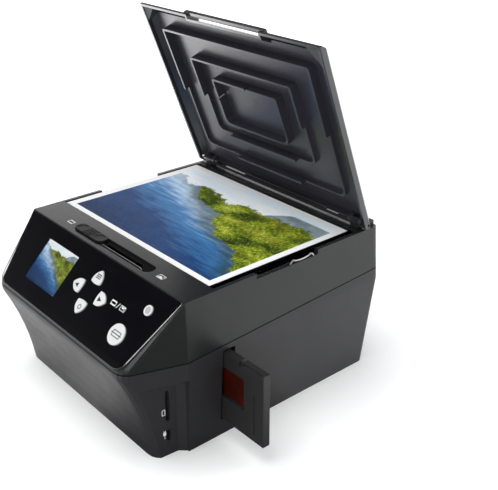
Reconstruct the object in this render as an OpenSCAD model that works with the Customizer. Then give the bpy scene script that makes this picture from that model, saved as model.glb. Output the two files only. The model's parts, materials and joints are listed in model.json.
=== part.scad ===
// Film and photo scanner with a hinged lid, a sliding film holder and a
// display panel. Millimetres, Z up, origin at the middle of the flat base.
// The modules below measure y from the front edge of the deck.

/* [Casing] */
// Width of the deck
deck_w = 191; // [188:0.5:200]
// Length of the deck, front edge to rear edge
deck_len = 175.5; // [175.5:0.5:182]
// Height of the deck above the table
deck_h = 116.4; // [115:0.2:124]
// Wall of both casings
wall = 2.5; // [2:0.1:2.8]
// Height of the seam between the casings at the front
seam_z = 73.7; // [73:0.1:75]
// Rise of the seam from front to rear
seam_rise = 8.8; // [4:0.1:10]
// How far each side bulges out at the seam, beyond the deck
seam_bulge = 1.5; // [1:0.1:3]
// How far each side draws in from the seam to the base
base_draft = 4.8; // [3:0.1:5]
// How far the nose stands out in front of the deck
nose_out = 44; // [42:0.5:47]
// How far the rounding of the nose reaches along its two faces
nose_round = 7.7; // [5:0.1:9]
// How far the toe of the base stands out in front of the deck
toe_out = 21.4; // [19:0.2:24]
// Forward place of the bend of the concave front
face_bend_out = 24.5; // [22:0.5:27]
// Height of the bend of the concave front
face_bend_z = 33; // [28:1:38]
// How much each front flank draws in, per millimetre forward
flank_slope = 0.345; // [0.3:0.005:0.36]
// Reach of the rounding of the nose corners, in plan
nose_corner = 9; // [5:0.5:11]
// Reach of the rounding of the rear corners, in plan
rear_corner = 4; // [2:0.5:6]
// Diameter of the rubber feet
foot_d = 14; // [10:0.5:16]
// Depth of the pockets that the feet fill
foot_t = 1.4; // [1:0.1:1.5]
// Diameter of the screw posts
post_d = 9; // [8.4:0.2:10]
// Height at which the lower and the upper posts meet
post_split = 66; // [62:0.5:70]
// Diameter of the case screws
screw_d = 3; // [2.5:0.1:3.2]
// Length of the case screws under the head
screw_len = 16; // [12:0.5:20]

/* [Photo bed] */
// Width of the glass recess
bed_w = 185; // [182:0.5:185.4]
// Length of the deck left behind the glass recess
bed_behind = 20.5; // [19:0.5:23]
// Front edge of the glass recess, behind the deck's front edge
bed_front = 24.5; // [24:0.1:25.5]
// Depth of the glass below the deck
bed_drop = 1; // [0.6:0.1:1.4]
// Thickness of the glass
glass_t = 2; // [1.6:0.1:2.4]
// Width of the ledge under the glass
ledge_w = 4.5; // [3.5:0.1:5]
// Thickness of the ledge under the glass
ledge_t = 1.6; // [1.2:0.1:2]
// How much narrower the print is than the glass recess
print_side = 7; // [5:0.5:35]
// How much shorter the print is than the glass recess
print_end = 3.5; // [2.5:0.5:30]
// Thickness of the print
print_t = 0.3; // [0.2:0.05:0.4]
// Front end of the finger notches, behind the deck's front edge
notch_front = 58; // [50:1:62]
// Length of the finger notches
notch_len = 56; // [40:1:60]
// Depth of the finger notches
notch_drop = 3.5; // [3.1:0.1:4.5]

/* [Control panel] */
// Margin between the panel inlay and the edges of the slope
panel_margin = 1.4; // [1:0.1:2.5]
// How much shorter the panel inlay is than the slope
panel_short = 3.9; // [3.5:0.1:7]
// Thickness of the panel inlay
panel_t = 1; // [0.8:0.1:1.2]
// Width of the display window
lcd_w = 41.5; // [38:0.5:43]
// How much shorter the display window is than the inlay
lcd_short = 24.8; // [23.4:0.2:27.4]
// Middle of the display window, left of the body's middle
lcd_left = 36.7; // [35:0.1:39]
// Upper edge of the display window, down the slope
lcd_top = 12.2; // [11:0.1:13.5]
// Middle of the four keys, right of the body's middle
keys_x = 14.6; // [13.6:0.1:17]
// Middle of the four keys above the middle of the inlay
keys_rise = 1.2; // [0.2:0.1:2.7]
// Distance from the middle to the base of the left and right keys
key_in_x = 10.3; // [9:0.1:10.5]
// Distance from the middle to the base of the upper and lower keys
key_in_s = 7.3; // [6.8:0.1:8]
// Width of a key's base
key_w = 9.9; // [9:0.1:11]
// Height of a key, base to tip
key_h = 9.5; // [8:0.1:10.2]
// How far a key's sides bow outward
key_bow = 3; // [1:0.1:3.4]
// How far the keys stand out of the panel
key_proud = 0.9; // [0.85:0.05:1.4]
// Travel of the keys and the round buttons
key_travel = 0.8; // [0.5:0.05:0.8]
// Diameter of the scan button
scan_d = 14.6; // [13:0.2:16]
// Diameter of the power button
power_d = 7.2; // [6:0.2:9]

/* [Mode slider] */
// Left end of the slider track, from the body's middle
track_left = 46.4; // [45:0.1:48]
// Right end of the slider track, from the body's middle
track_right = 48; // [47:0.1:50]
// Width of the slider track
track_w = 10.4; // [9.6:0.1:10.8]
// Middle of the slider track, behind the deck's front edge
track_y = 9.3; // [9:0.1:9.6]
// Depth of the slider track
track_drop = 1.3; // [1:0.1:1.5]
// Length of the slider knob
knob_len = 35.9; // [30:0.1:36]
// How far the knob stands out of the deck
knob_proud = 1.4; // [1:0.1:1.6]

/* [Lid] */
// Width of the lid
lid_w = 194.8; // [192:0.2:198]
// Front edge of the closed lid behind the deck's front edge
lid_front = 16.1; // [15.5:0.1:18]
// Thickness of the lid over its rims
lid_t = 9.2; // [9:0.1:10]
// Depth of the lid's hollow, to the liner
lid_hollow = 7.25; // [7:0.05:7.6]
// Thickness of the lid's rims
lid_rim = 2; // [1.6:0.1:2.4]
// Height of the upright part of the side rims
side_rim_h = 4.4; // [3.6:0.1:5]
// Height of the upright part of the free edge's rim
free_rim_h = 2; // [1.6:0.1:3]
// Thickness of the liner plate
liner_t = 0.8; // [0.6:0.1:1]
// Thickness of the liner's ribs
rib_t = 1.8; // [1.4:0.1:2.4]
// How far the ribs stay below the rims
rib_below = 0.6; // [0.4:0.1:1.2]
// Height of the stepped-down stretches of the ribs
rib_low = 3.1; // [2:0.1:5]
// Where the ribs step down, from the hinge end
rib_step = 76.5; // [70:0.5:80]
// Opening angle of the lid at rest
lid_open = 68.9; // [40:0.1:75]
// Gap between the closed lid's rims and the deck
lid_gap = 0.3; // [0.3:0.05:0.8]
// Hinge axis in front of the deck's rear edge
hinge_behind = 12; // [11.7:0.1:12.2]
// Hinge axis above the rim tips of the closed lid
hinge_up = 3.6; // [3.6:0.05:3.8]
// Hinge axis in front of the lid's rear edge
hinge_in = 2.4; // [2.3:0.1:2.6]
// Middle of each hinge, from the body's middle
hinge_x = 85; // [84.5:0.1:85.5]
// Diameter of the hinge pins
pin_d = 2.4; // [2:0.1:2.8]
// Diameter of the hinge knuckles
knuckle_d = 6.4; // [6:0.1:6.6]
// Width of the casing's hinge ears
ear_w = 6; // [4:0.5:8]
// Width of the lid's hinge lugs
lug_w = 3.2; // [2.5:0.1:4]
// Height of the two ridges behind the lid
ridge_h = 4.2; // [2:0.1:5]
// Depth of the two ridges behind the lid, front to rear
ridge_w = 5; // [3:0.1:5.2]
// Length of the two ridges behind the lid, along the rear edge
ridge_len = 13.5; // [8:0.5:30]
// Width of the handle on the free edge
handle_w = 88; // [60:1:100]
// Reach of the handle beyond the free edge
handle_out = 1; // [0.6:0.1:1.6]
// Width of the slot behind the handle's bar, at the rim tips
handle_slot = 2.7; // [2.2:0.1:4]
// Thickness of the handle's bar
handle_t = 2.6; // [2:0.1:3.4]

/* [Film] */
// Height of the film's middle above the table
film_z = 45.4; // [44:0.1:46]
// Film plane behind the deck's front edge
film_y = 32; // [31.8:0.1:32.4]
// Middle of the film gate, left of the body's middle
gate_left = 15.7; // [13:0.1:17]
// Distance from one frame to the next
frame_pitch = 38; // [37.5:0.1:38.5]
// Length of a frame
frame_len = 36; // [34:0.5:36.5]
// Height of a frame
frame_h = 24; // [22:0.5:25]
// Number of frames in the holder
frames = 4; // [3:1:5]
// Length of the holder beyond its outermost frames
holder_end = 18; // [16:0.5:24]
// Height of the holder
holder_h = 55.2; // [50:0.2:56]
// Height of the holder's middle above the table
holder_z = 41.9; // [41.4:0.1:42.2]
// Thickness of the closed holder
holder_t = 5.6; // [5:0.1:6]
// Height of the film strip
film_h = 35; // [34:0.5:35.5]
// Thickness of the film strip
film_t = 0.14; // [0.1:0.01:0.18]
// Running gap between the holder and its guide
holder_gap = 0.3; // [0.2:0.05:0.4]
// Wall of the film guide
guide_t = 2.4; // [2:0.1:2.6]
// Length of the slot in each side wall, front to rear
slot_len = 10.2; // [9.6:0.1:11]

/* [Ports] */
// Height of the ports recess
ports_h = 59.5; // [57:0.5:61]
// Distance of the port face from the body's middle, at its front
port_x = 85.6; // [85:0.1:86]
// Middle of both ports, in front of the deck's front edge
port_out = 10.2; // [9.6:0.1:10.6]
// Length of the card slot
card_len = 24; // [24:0.2:25]
// Width of the card slot
card_w = 3.2; // [2.6:0.1:3.4]
// Height of the card slot's middle
card_z = 39.5; // [38:0.5:41]
// Height of the USB inlet's middle
usb_z = 16; // [15.5:0.5:17]
// Height of the USB inlet
usb_h = 8.6; // [7.8:0.1:9]
// Width of the USB inlet
usb_w = 3; // [2.4:0.1:3.2]

/* [Optics] */
// Travel of the mirror carriage and the mode slider
mode_travel = 56.5; // [55:0.5:57]
// Width of the fold mirror
mirror_w = 32; // [28:0.5:33]
// Length of the fold mirror, along its slope
mirror_len = 50; // [44:0.5:52]
// Thickness of the fold mirror
mirror_t = 2; // [1.5:0.1:2.5]
// Middle of the fold mirror behind the deck's front edge
mirror_y = 80; // [78:0.5:80.5]
// Diameter of the close-up lens
close_d = 22; // [18:0.5:24]
// Diameter of the carriage rods
rod_d = 4; // [3:0.1:4.4]
// Distance between the carriage rods
rod_gap = 32; // [28:0.5:34]
// Height of the carriage rods
rod_z = 16.5; // [16:0.1:17]
// Diameter of the camera's lens barrel
barrel_d = 18; // [16:0.2:19]
// Length of the camera's lens barrel
barrel_len = 15; // [13:0.2:15.4]
// Front of the camera's bracket boss behind the deck's front edge
camera_y = 103; // [102:0.5:106]

/* [Clearances] */
// Gap round buttons and keys
key_clear = 0.25; // [0.2:0.05:0.35]
// Gap round pieces set into a recess
set_clear = 0.15; // [0.1:0.05:0.25]
// Radial gap of a shaft or rod in its hole
run_clear = 0.05; // [0.03:0.01:0.08]
// Gap between sliding faces
slide_gap = 0.3; // [0.3:0.05:0.4]

/* [Hidden] */

$fn = 48;
far = 300;

// Plan of the casing
side_x = deck_w / 2;
base_front = -toe_out;
rear_base = deck_len - 4.1;
rear_seam = deck_len + 2.5;
base_mid = (base_front + rear_base) / 2;
flank_stretch = sqrt(1 + flank_slope * flank_slope);

// Control panel
panel_tilt = atan((deck_h - seam_z) / nose_out);
panel_len = norm([nose_out, deck_h - seam_z]) - panel_short;
keys_s = panel_len / 2 - keys_rise;
scan_s = panel_len - 17.9;
key_depth = 6;
flange_t = 1.2;
flange_rim = 1;
key_seat = wall + slide_gap;
switch_top = key_depth + key_travel + 0.1;
board_t = 1.6;
board_top = switch_top + 1.1;
scan_x = 60.2;
power_x = 72.5;
power_s = 15.9;
ring_t = 1.2;
board_left = keys_x - 23.1;
board_right = 78;
board_boss_d = 5;
board_low = panel_len - 7.4;
board_bosses = [[keys_x - 19, 11], [60, 13], [keys_x - 19, board_low - 3.5], [74, board_low - 3]];
lcd_x = -lcd_left;
lcd_len = panel_len - lcd_short;
lcd_down = lcd_top + lcd_len / 2;
lcd_frame_rim = 2.5;
lcd_body_w = lcd_w + 6.5;
lcd_body_len = lcd_len + 5.4;
lcd_t = 3.5;

// Posts, screws and feet
post_x = side_x - 11.5;
post_ys = [12, deck_len - 12.5];
head_d = screw_d * 2;
head_t = 2;
head_z = post_split - 6;
foot_x = 68;
foot_ys = [-6, deck_len - 22];

// Photo bed
bed_len = deck_len - bed_front - bed_behind;
bed_rear = bed_front + bed_len;
glass_z = deck_h - bed_drop - glass_t;
print_w = bed_w - print_side;
print_len = bed_len - print_end;
shelf_z = deck_h - 18.4;
shelf_front = bed_front + 17.5;
shelf_rear = bed_rear - 17;
print_x = -2.5;
print_y = bed_front + 1.3;

// Mode slider
track_mid = (track_right - track_left) / 2;
knob_w = track_w - 0.8;
knob_left = -track_left + 0.4;
knob_x = knob_left + knob_len / 2;
stem_w = 3;
stem_x = 12;
link_top = deck_h - wall - slide_gap;
link_t = 3;
link_z = holder_z + holder_h / 2 + holder_gap + guide_t + 4;
link_leg_y = film_y + 18;
link_leg_x = -44;

// Lid
hinge_y = deck_len - hinge_behind;
lid_z = deck_h + lid_gap;
pivot_z = lid_z + hinge_up;
lid_rear = hinge_y + hinge_in;
lid_len = lid_rear - lid_front;
lid_half = lid_w / 2;
shell_floor = lid_hollow + liner_t + 0.02;
rib_half = [80.1, 55.8, 36.2];
rib_near = [20.5, 41.5, 55];
rib_far = [lid_len - 18.6, lid_len - 38.8, lid_len - 53.3];
slit_low = 3;
slit_high = 5.4;
slits = [[-77.8, -40.6], [53.3, 66.5]];
handle_end = 5;
bar_low = 1.8;
bar_in = 2.1;
slot_lean = 0.72;
slot_wall = 2.2;
slot_half = handle_w / 2 - handle_end;
slot_from = lid_len - 0.5 - handle_slot;
ear_gap = 0.3;
lid_heel = 1.7;
pin_len = ear_w + 2 * ear_gap + 2 * lug_w;

// Film
gate_x = -gate_left;
holder_right = gate_x + (frames - 0.5) * frame_pitch + holder_end;
holder_len = frames * frame_pitch + 2 * holder_end;
holder_left = holder_right - holder_len;
holder_mid_x = (holder_left + holder_right) / 2;
holder_y = film_y - holder_t / 2;
holder_bottom = holder_z - holder_h / 2;
guide_half = 89.8;
guide_bottom = holder_bottom - holder_gap - guide_t;
guide_top = holder_z + holder_h / 2 + holder_gap + guide_t;
guide_front = holder_y - holder_gap - guide_t;
guide_rear = film_y + holder_t / 2 + 2 * holder_gap;
slot_front = holder_y - 1;

// Backlight
light_w = frame_len + 12;
light_h = frame_h + 12;
light_depth = 14;
diffuser_t = 1.5;
box_wall = 1.5;

// Optics
carriage_z = rod_z + 4.5;
carriage_t = 2.5;
carriage_left = -90.3;
carriage_right = gate_x + 16;
mirror_x = gate_x - mode_travel;
cheek_t = 1.6;
close_y = mirror_y - 9;
rod_half = 89;
rod_support_t = 3.5;
bush_wall = 1;
bush_len = 8;
bush_xs = [-80, carriage_right - 8];
rod_ys = [mirror_y - rod_gap / 2, mirror_y + rod_gap / 2];
boss_len = 8;
sensor_y = camera_y + boss_len;

// Boards in the base
board_z = 8;
board_rear = deck_len - 19.5;
port_board_out = 7.4;

// ------------------------------------------------------------ plain helpers

function unit(v) = v / norm(v);
function blend(a, b, t) = a + (b - a) * t;

// n + 1 points of a curve that starts at a, bends at b and ends at c
function bend(a, b, c, n) =
  [for (i = [0:n]) let (t = i / n) blend(blend(a, b, t), blend(b, c, t), t)];

// The outline pts with every corner k rounded over reach[k]
function soften(pts, reach, n) =
  [for (k = [0:len(pts) - 1])
    let (b = pts[k],
         a = pts[(k + len(pts) - 1) % len(pts)],
         c = pts[(k + 1) % len(pts)],
         ra = min(reach[k], norm(a - b) * 0.45),
         rc = min(reach[k], norm(c - b) * 0.45))
    each bend(b + unit(a - b) * ra, b, b + unit(c - b) * rc, n)];

module box(low, high) {
  translate(low)
    cube(high - low);
}

// A box with its four upright edges rounded
module slab(size, r) {
  half = size / 2;
  corners = [[-half.x, -half.y], [half.x, -half.y], [half.x, half.y], [-half.x, half.y]];
  linear_extrude(size.z)
    polygon(soften(corners, [r, r, r, r], 6));
}

// A plate with round ends, along X
module stadium(length, width, height) {
  for (side = [-1, 1])
    translate([side * (length - width) / 2, 0, 0])
      cylinder(d = width, h = height);
  translate([-(length - width) / 2, -width / 2, 0])
    cube([length - width, width, height]);
}

// A cylinder along X
module bar(d, from, to) {
  translate([from, 0, 0])
    rotate([0, 90, 0])
      cylinder(d = d, h = to - from);
}

// ------------------------------------------------------------- casing form

// Front outline, from the deck's front edge to the base, as [y, z] points.
// It follows the outer face, or the face that lies w inside it.
function front_line(w) =
  let (top = [0, deck_h], nose = [-nose_out, seam_z],
       hollow = [-face_bend_out, face_bend_z], toe = [-toe_out, 0],
       to_deck = unit(top - nose), to_face = unit(hollow - nose),
       top_in = top + [tan(panel_tilt / 2), -1] * w,
       nose_in = nose + (to_deck + to_face) * w / abs(cross(to_deck, to_face)),
       turn_in = nose_in + to_face * nose_round,
       hollow_in = hollow + [w, 0],
       toe_in = toe + [w, w])
  concat([top_in],
         bend(nose_in + to_deck * nose_round, nose_in, turn_in, 6),
         [for (i = [1:6]) bend(turn_in, hollow_in, toe_in, 6)[i]]);

// Half width and rear end of the casing at height z
function half_at(z) =
  z < seam_z
  ? side_x + seam_bulge - base_draft * (1 - z / seam_z)
  : side_x + seam_bulge * (deck_h - z) / (deck_h - seam_z);
function rear_at(z) =
  z < seam_z
  ? blend(rear_base, rear_seam, z / seam_z)
  : blend(rear_seam, deck_len, (z - seam_z) / (deck_h - seam_z));

// Plan outline at one point of the front line, w inside the outer face
function plan_at(p, w) =
  let (x = half_at(p.y) - w,
       crease = w * (flank_stretch - 1) / flank_slope,
       y = min(p.x, crease - 0.3),
       front_x = half_at(p.y) - w * flank_stretch + flank_slope * y,
       up = max(0, p.y - seam_z) / (deck_h - seam_z),
       nose_r = nose_corner * (1 - 0.85 * up))
  soften([[-front_x, y], [front_x, y], [x, crease],
          [x, rear_at(p.y) - w], [-x, rear_at(p.y) - w], [-x, crease]],
         [nose_r, nose_r, 1, rear_corner, rear_corner, 1], 4);

// The solid inside the casing's outer face, or inside the face w within it
module casing_form(w = 0) {
  line = front_line(w);
  rings = [for (p = line) plan_at(p, w)];
  n = len(rings[0]);
  last = len(line) - 1;
  points = [for (k = [0:last]) each [for (q = rings[k]) [q.x, q.y, line[k].y]]];
  sides = [for (k = [0:last - 1]) for (i = [0:n - 1])
    let (a = k * n + i, b = k * n + (i + 1) % n)
    each [[a, b, b + n], [a, b + n, a + n]]];
  polyhedron(points,
             concat([[for (i = [n - 1:-1:0]) i]], sides,
                    [[for (i = [0:n - 1]) last * n + i]]),
             convexity = 6);
}

// Everything above the seam, or below it
module seam_side(above) {
  edge = above ? far : -far;
  rotate([90, 0, 90])
    linear_extrude(2 * far, center = true)
      polygon([[-far, edge], [-far, seam_z], [0, seam_z],
               [rear_seam, seam_z + seam_rise],
               [far, seam_z + seam_rise], [far, edge]]);
}

// Places children on the sloped panel: x to the right, y up the slope from
// the deck's front edge, z out of the panel
module on_panel() {
  translate([0, 0, deck_h])
    rotate([panel_tilt, 0, 0])
      children();
}

// ---------------------------------------------------------------- key forms

// Outline of a key, its base on y = 0 and its tip up, grown by grow
function key_outline(grow) =
  let (half = key_w / 2 + grow, tip = [0, key_h + 1.6 * grow], foot = -grow,
       right = bend([half, foot], [half - 1 + key_bow * 0.7, key_h * 0.62], tip, 8),
       left = bend(tip, [1 - half - key_bow * 0.7, key_h * 0.62], [-half, foot], 8),
       base = bend([-half, foot], [0, foot - 1.6], [half, foot], 4))
  concat([for (i = [0:8]) right[i]], [for (i = [1:8]) left[i]], [for (i = [1:3]) base[i]]);

// Places one of the four keys: 0 right, 1 up, 2 left, 3 down
module at_key(k) {
  translate([keys_x, -keys_s, 0])
    rotate([0, 0, 90 * k - 90])
      translate([0, k % 2 == 0 ? key_in_x : key_in_s, 0])
        children();
}

module key_prism(grow, low, high) {
  translate([0, 0, low])
    linear_extrude(high - low)
      polygon(key_outline(grow));
}

module key(k) {
  on_panel()
    at_key(k) {
      key_prism(0, -key_depth, key_proud);
      key_prism(flange_rim, -key_seat - flange_t, -key_seat);
    }
}

module round_button(x, s, d) {
  on_panel()
    translate([x, -s, 0]) {
      translate([0, 0, -key_depth])
        cylinder(d = d, h = key_depth + key_proud);
      translate([0, 0, -key_seat - flange_t])
        cylinder(d = d + 2 * flange_rim, h = flange_t);
    }
}

// Holes for every key and button, through the panel and the casing
module key_holes() {
  on_panel() {
    for (k = [0:3])
      at_key(k)
        key_prism(key_clear, -wall - 1, 1);
    translate([scan_x, -scan_s, -wall - 1])
      cylinder(d = scan_d + 2 * key_clear, h = wall + 2);
    translate([power_x, -power_s, -wall - 1])
      cylinder(d = power_d + 2 * key_clear, h = wall + 2);
  }
}

// ------------------------------------------------------------------ casings

// Outline of the panel inlay, shrunk by shrink, as a prism across the slope
module panel_prism(shrink, low, high) {
  across = side_x - panel_margin - shrink;
  narrow = flank_slope * cos(panel_tilt);
  top_s = 1.2 + shrink;
  end_s = panel_len - shrink;
  outline = [[-across + narrow * end_s, -end_s], [across - narrow * end_s, -end_s],
             [across - narrow * top_s, -top_s], [-across + narrow * top_s, -top_s]];
  on_panel()
    translate([0, 0, low])
      linear_extrude(high - low)
        polygon(soften(outline, [9, 9, 0.8, 0.8], 6));
}

module lcd_hole(grow, low, high) {
  on_panel()
    translate([lcd_x, -lcd_down, low])
      slab([lcd_w + 2 * grow, lcd_len + 2 * grow, high - low], 0.6);
}

// The recess behind the front right corner that holds both ports
module ports_cut() {
  slope = tan(5);
  translate([0, 0, -1])
    linear_extrude(ports_h + 1)
      polygon([[port_x - 1.6, -far], [port_x - 0.3, -19], [port_x, -16],
               [port_x + 12.5 * slope, -3.5], [side_x - 4.5, 1.2],
               [side_x + 9, 1.2], [side_x + 9, -far]]);
}

module ports_block() {
  intersection() {
    casing_form();
    box([port_x - wall - 0.2, -face_bend_out - 12, 0], [side_x + 9, 4.2, ports_h + 2]);
  }
}

module film_slots() {
  for (side = [-1, 1])
    translate([side * side_x, slot_front + slot_len / 2, (guide_bottom + guide_top) / 2])
      box([-12, -slot_len / 2, -(guide_top - guide_bottom) / 2 + guide_t / 2 + 0.2],
          [12, slot_len / 2, (guide_top - guide_bottom) / 2 - guide_t / 2 - 0.2]);
}

module lower_casing() {
  color([0.15, 0.15, 0.17])
    difference() {
      union() {
        difference() {
          intersection() {
            casing_form();
            seam_side(false);
          }
          casing_form(wall);
        }
        intersection() {
          ports_block();
          seam_side(false);
        }
        for (side = [-1, 1])
          for (y = post_ys)
            translate([side * post_x, y, wall / 2])
              cylinder(d = post_d, h = post_split - wall / 2);
        rod_supports();
        guide_feet();
        board_feet();
      }
      ports_cut();
      film_slots();
      translate([port_x - wall - 3, -port_out, card_z])
        rotate([0, 90, 0])
          stadium(card_len, card_w, 12);
      translate([port_x - wall - 3, -port_out, usb_z])
        rotate([0, 90, 0])
          slab([usb_h, usb_w, 12], 1);
      for (side = [-1, 1]) {
        for (y = post_ys)
          translate([side * post_x, y, -1]) {
            cylinder(d = head_d + 0.8, h = head_z + 1);
            cylinder(d = screw_d + 0.4, h = post_split + 2);
          }
        for (y = foot_ys)
          translate([side * foot_x, y, -1])
            cylinder(d = foot_d + 2 * set_clear, h = foot_t + 1);
      }
    }
}

// Blocks that hold the ends of the carriage rods
module rod_supports() {
  for (side = [-1, 1])
    for (y = rod_ys)
      difference() {
        translate([side * (rod_half - rod_support_t / 2), y, 0])
          box([-rod_support_t / 2, -4.5, wall / 2], [rod_support_t / 2, 4.5, carriage_z - 0.5]);
        translate([0, y, rod_z])
          bar(rod_d + 0.04, -rod_half - 1, rod_half + 1);
      }
}

module guide_feet() {
  for (side = [-1, 1])
    translate([side * 62, 0, 0])
      box([-2, guide_front, wall / 2], [2, guide_rear + guide_t, guide_bottom]);
}

// Pillars under the main board and ribs behind the port board
module board_feet() {
  for (x = [20, 76])
    for (y = [board_rear - 40, board_rear - 6])
      translate([x, y, wall / 2])
        cylinder(d = 6, h = board_z - wall / 2);
  for (x = [60, 72])
    box([x, -port_board_out, wall / 2], [x + 3, -port_board_out + 3, 24]);
}

module upper_casing() {
  color([0.2, 0.2, 0.21])
    difference() {
      union() {
        difference() {
          intersection() {
            casing_form();
            seam_side(true);
          }
          difference() {
            casing_form(wall);
            bed_ledge();
          }
        }
        for (side = [-1, 1])
          for (y = post_ys)
            translate([side * post_x, y, post_split])
              cylinder(d = post_d, h = deck_h - wall / 2 - post_split);
        on_panel()
          for (b = board_bosses)
            translate([b.x, -b.y, -board_top])
              cylinder(d = board_boss_d, h = board_top - wall / 2);
        light_shelves();
        hinge_ears();
        rear_ridges();
      }
      bed_cuts();
      track_cuts();
      difference() {
        panel_prism(-set_clear, -6, 4);
        casing_form(panel_t);
      }
      lcd_hole(0.1, -wall - 2, 1);
      key_holes();
      for (side = [-1, 1])
        for (y = post_ys)
          translate([side * post_x, y, post_split - 1])
            cylinder(d = screw_d + 0.04, h = screw_len - 2);
    }
}

module bed_ledge() {
  box([-side_x - 2, bed_front - 1, glass_z - ledge_t],
      [side_x + 2, bed_front + bed_len + 1, deck_h]);
}

module bed_cuts() {
  translate([0, bed_front + bed_len / 2, glass_z])
    slab([bed_w, bed_len, far], 1);
  translate([0, bed_front + bed_len / 2, glass_z - ledge_t - 1])
    slab([bed_w - 2 * ledge_w, bed_len - 2 * ledge_w, far], 2);
  for (side = [-1, 1])
    translate([side * (side_x + 5), notch_front + notch_len / 2, deck_h - notch_drop])
      slab([2 * (side_x + 5) - bed_w + 2 * ledge_w - 6, notch_len, far], 3);
}

module track_cuts() {
  translate([track_mid, track_y, deck_h - track_drop])
    stadium(track_left + track_right, track_w, far);
  translate([knob_x + mode_travel / 2, track_y, deck_h - wall - 1])
    stadium(mode_travel + stem_x + 3, stem_w + 0.8, wall + 2);
}

module light_shelves() {
  for (side = [-1, 1])
    intersection() {
      casing_form(wall / 2);
      translate([side * (side_x - 6.5), 0, 0])
        box([-6.5, shelf_front, shelf_z - 2], [6.5, shelf_rear, shelf_z]);
    }
}

// Ears that carry the lid's hinge pins
module hinge_ears() {
  for (side = [-1, 1])
    translate([side * hinge_x, hinge_y, 0])
      difference() {
        union() {
          box([-ear_w / 2, -knuckle_d / 2, deck_h - 1], [ear_w / 2, knuckle_d / 2, pivot_z]);
          translate([0, 0, pivot_z])
            bar(knuckle_d, -ear_w / 2, ear_w / 2);
        }
        translate([0, 0, pivot_z])
          bar(pin_d + 2 * run_clear, -ear_w, ear_w);
      }
}

// Two low ridges with round tops, behind the ends of the lid
module rear_ridges() {
  out = side_x - rear_corner;
  for (side = [-1, 1])
    translate([side * (out - ridge_len / 2), deck_len - ridge_w / 2 - 0.2, deck_h]) {
      box([-ridge_len / 2, -ridge_w / 2, -1], [ridge_len / 2, ridge_w / 2, ridge_h - ridge_w / 2]);
      translate([0, 0, ridge_h - ridge_w / 2])
        bar(ridge_w, -ridge_len / 2, ridge_len / 2);
    }
}

module rubber_feet() {
  color([0.06, 0.06, 0.06])
    for (side = [-1, 1])
      for (y = foot_ys)
        translate([side * foot_x, y, 0])
          cylinder(d = foot_d, h = foot_t);
}

module case_screws() {
  color([0.7, 0.7, 0.72])
    for (side = [-1, 1])
      for (y = post_ys)
        translate([side * post_x, y, head_z]) {
          translate([0, 0, -head_t])
            difference() {
              cylinder(d = head_d, h = head_t);
              translate([-head_d / 3, -0.4, -1])
                cube([head_d * 2 / 3, 0.8, 2]);
              translate([-0.4, -head_d / 3, -1])
                cube([0.8, head_d * 2 / 3, 2]);
            }
          cylinder(d = screw_d, h = screw_len);
        }
}

// ------------------------------------------------------------ control panel

module panel_inlay() {
  color([0.05, 0.05, 0.06])
    difference() {
      intersection() {
        casing_form();
        panel_prism(0, -6, 4);
      }
      casing_form(panel_t);
      lcd_hole(0, -3, 1);
      key_holes();
    }
}

module lcd_window() {
  color([0.5, 0.7, 0.9])
    lcd_hole(-set_clear, -panel_t, 0);
}

module lcd_module() {
  color([0.25, 0.35, 0.55]) {
    lcd_hole(-set_clear, -wall - 0.5, -panel_t - 0.05);
    on_panel()
      translate([lcd_x, -lcd_down, -wall - lcd_t - 0.05])
        slab([lcd_body_w, lcd_body_len, lcd_t], 1);
  }
}

// Frame that clamps the display from behind
module lcd_frame() {
  outer = [lcd_body_w + 2 * lcd_frame_rim, lcd_body_len + 2 * lcd_frame_rim];
  depth = lcd_t + 0.05;
  color([0.3, 0.3, 0.32])
    on_panel()
      translate([lcd_x, -lcd_down, -wall - depth - 1.5])
        difference() {
          slab([outer.x, outer.y, depth + 1.5], 1.5);
          translate([0, 0, 1.5])
            slab([lcd_body_w + 0.4, lcd_body_len + 0.4, depth + 1], 1);
          translate([0, 0, -1])
            slab([lcd_body_w - 12, lcd_body_len - 12, 4], 2);
        }
}

module key_right() {
  color([0.93, 0.93, 0.93])
    key(0);
}

module key_up() {
  color([0.93, 0.93, 0.93])
    key(1);
}

module key_left() {
  color([0.93, 0.93, 0.93])
    key(2);
}

module key_down() {
  color([0.93, 0.93, 0.93])
    key(3);
}

module scan_button() {
  color([0.93, 0.93, 0.93])
    round_button(scan_x, scan_s, scan_d);
}

module power_button() {
  color([0.75, 0.75, 0.76])
    difference() {
      round_button(power_x, power_s, power_d);
      power_ring_form();
    }
}

module power_ring_form() {
  on_panel()
    translate([power_x, -power_s, key_proud - 1])
      difference() {
        cylinder(d = power_d + 1, h = 2);
        translate([0, 0, -1])
          cylinder(d = power_d - 2 * ring_t, h = 4);
      }
}

// Bright ring let into the rim of the power button
module power_ring() {
  color([0.95, 0.95, 0.95])
    intersection() {
      round_button(power_x, power_s, power_d);
      power_ring_form();
    }
}

module button_board() {
  color([0.1, 0.35, 0.2])
    on_panel()
      box([board_left, -board_low, -board_top - board_t], [board_right, -8.5, -board_top]);
}

module button_switches() {
  size = 4;
  color([0.15, 0.15, 0.15])
    on_panel() {
      for (k = [0:3])
        at_key(k)
          translate([0, key_h * 0.4, -board_top])
            switch_form(size);
      translate([scan_x, -scan_s, -board_top])
        switch_form(size);
      translate([power_x, -power_s, -board_top])
        switch_form(size);
    }
}

module switch_form(size) {
  box([-size / 2, -size / 2, 0], [size / 2, size / 2, 0.7]);
  cylinder(d = size / 2, h = board_top - switch_top);
}

// Flat ribbon from the display to the button board
module lcd_ribbon() {
  from = lcd_x + lcd_body_w / 2 - 12;
  behind = -wall - lcd_t - 0.05;
  low = -board_top;
  color([0.8, 0.55, 0.2])
    on_panel() {
      box([from, -34, low], [from + 0.3, -22, behind]);
      box([from, -34, low], [board_left + 3, -22, low + 0.3]);
    }
}

// -------------------------------------------------------------- mode slider

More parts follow.
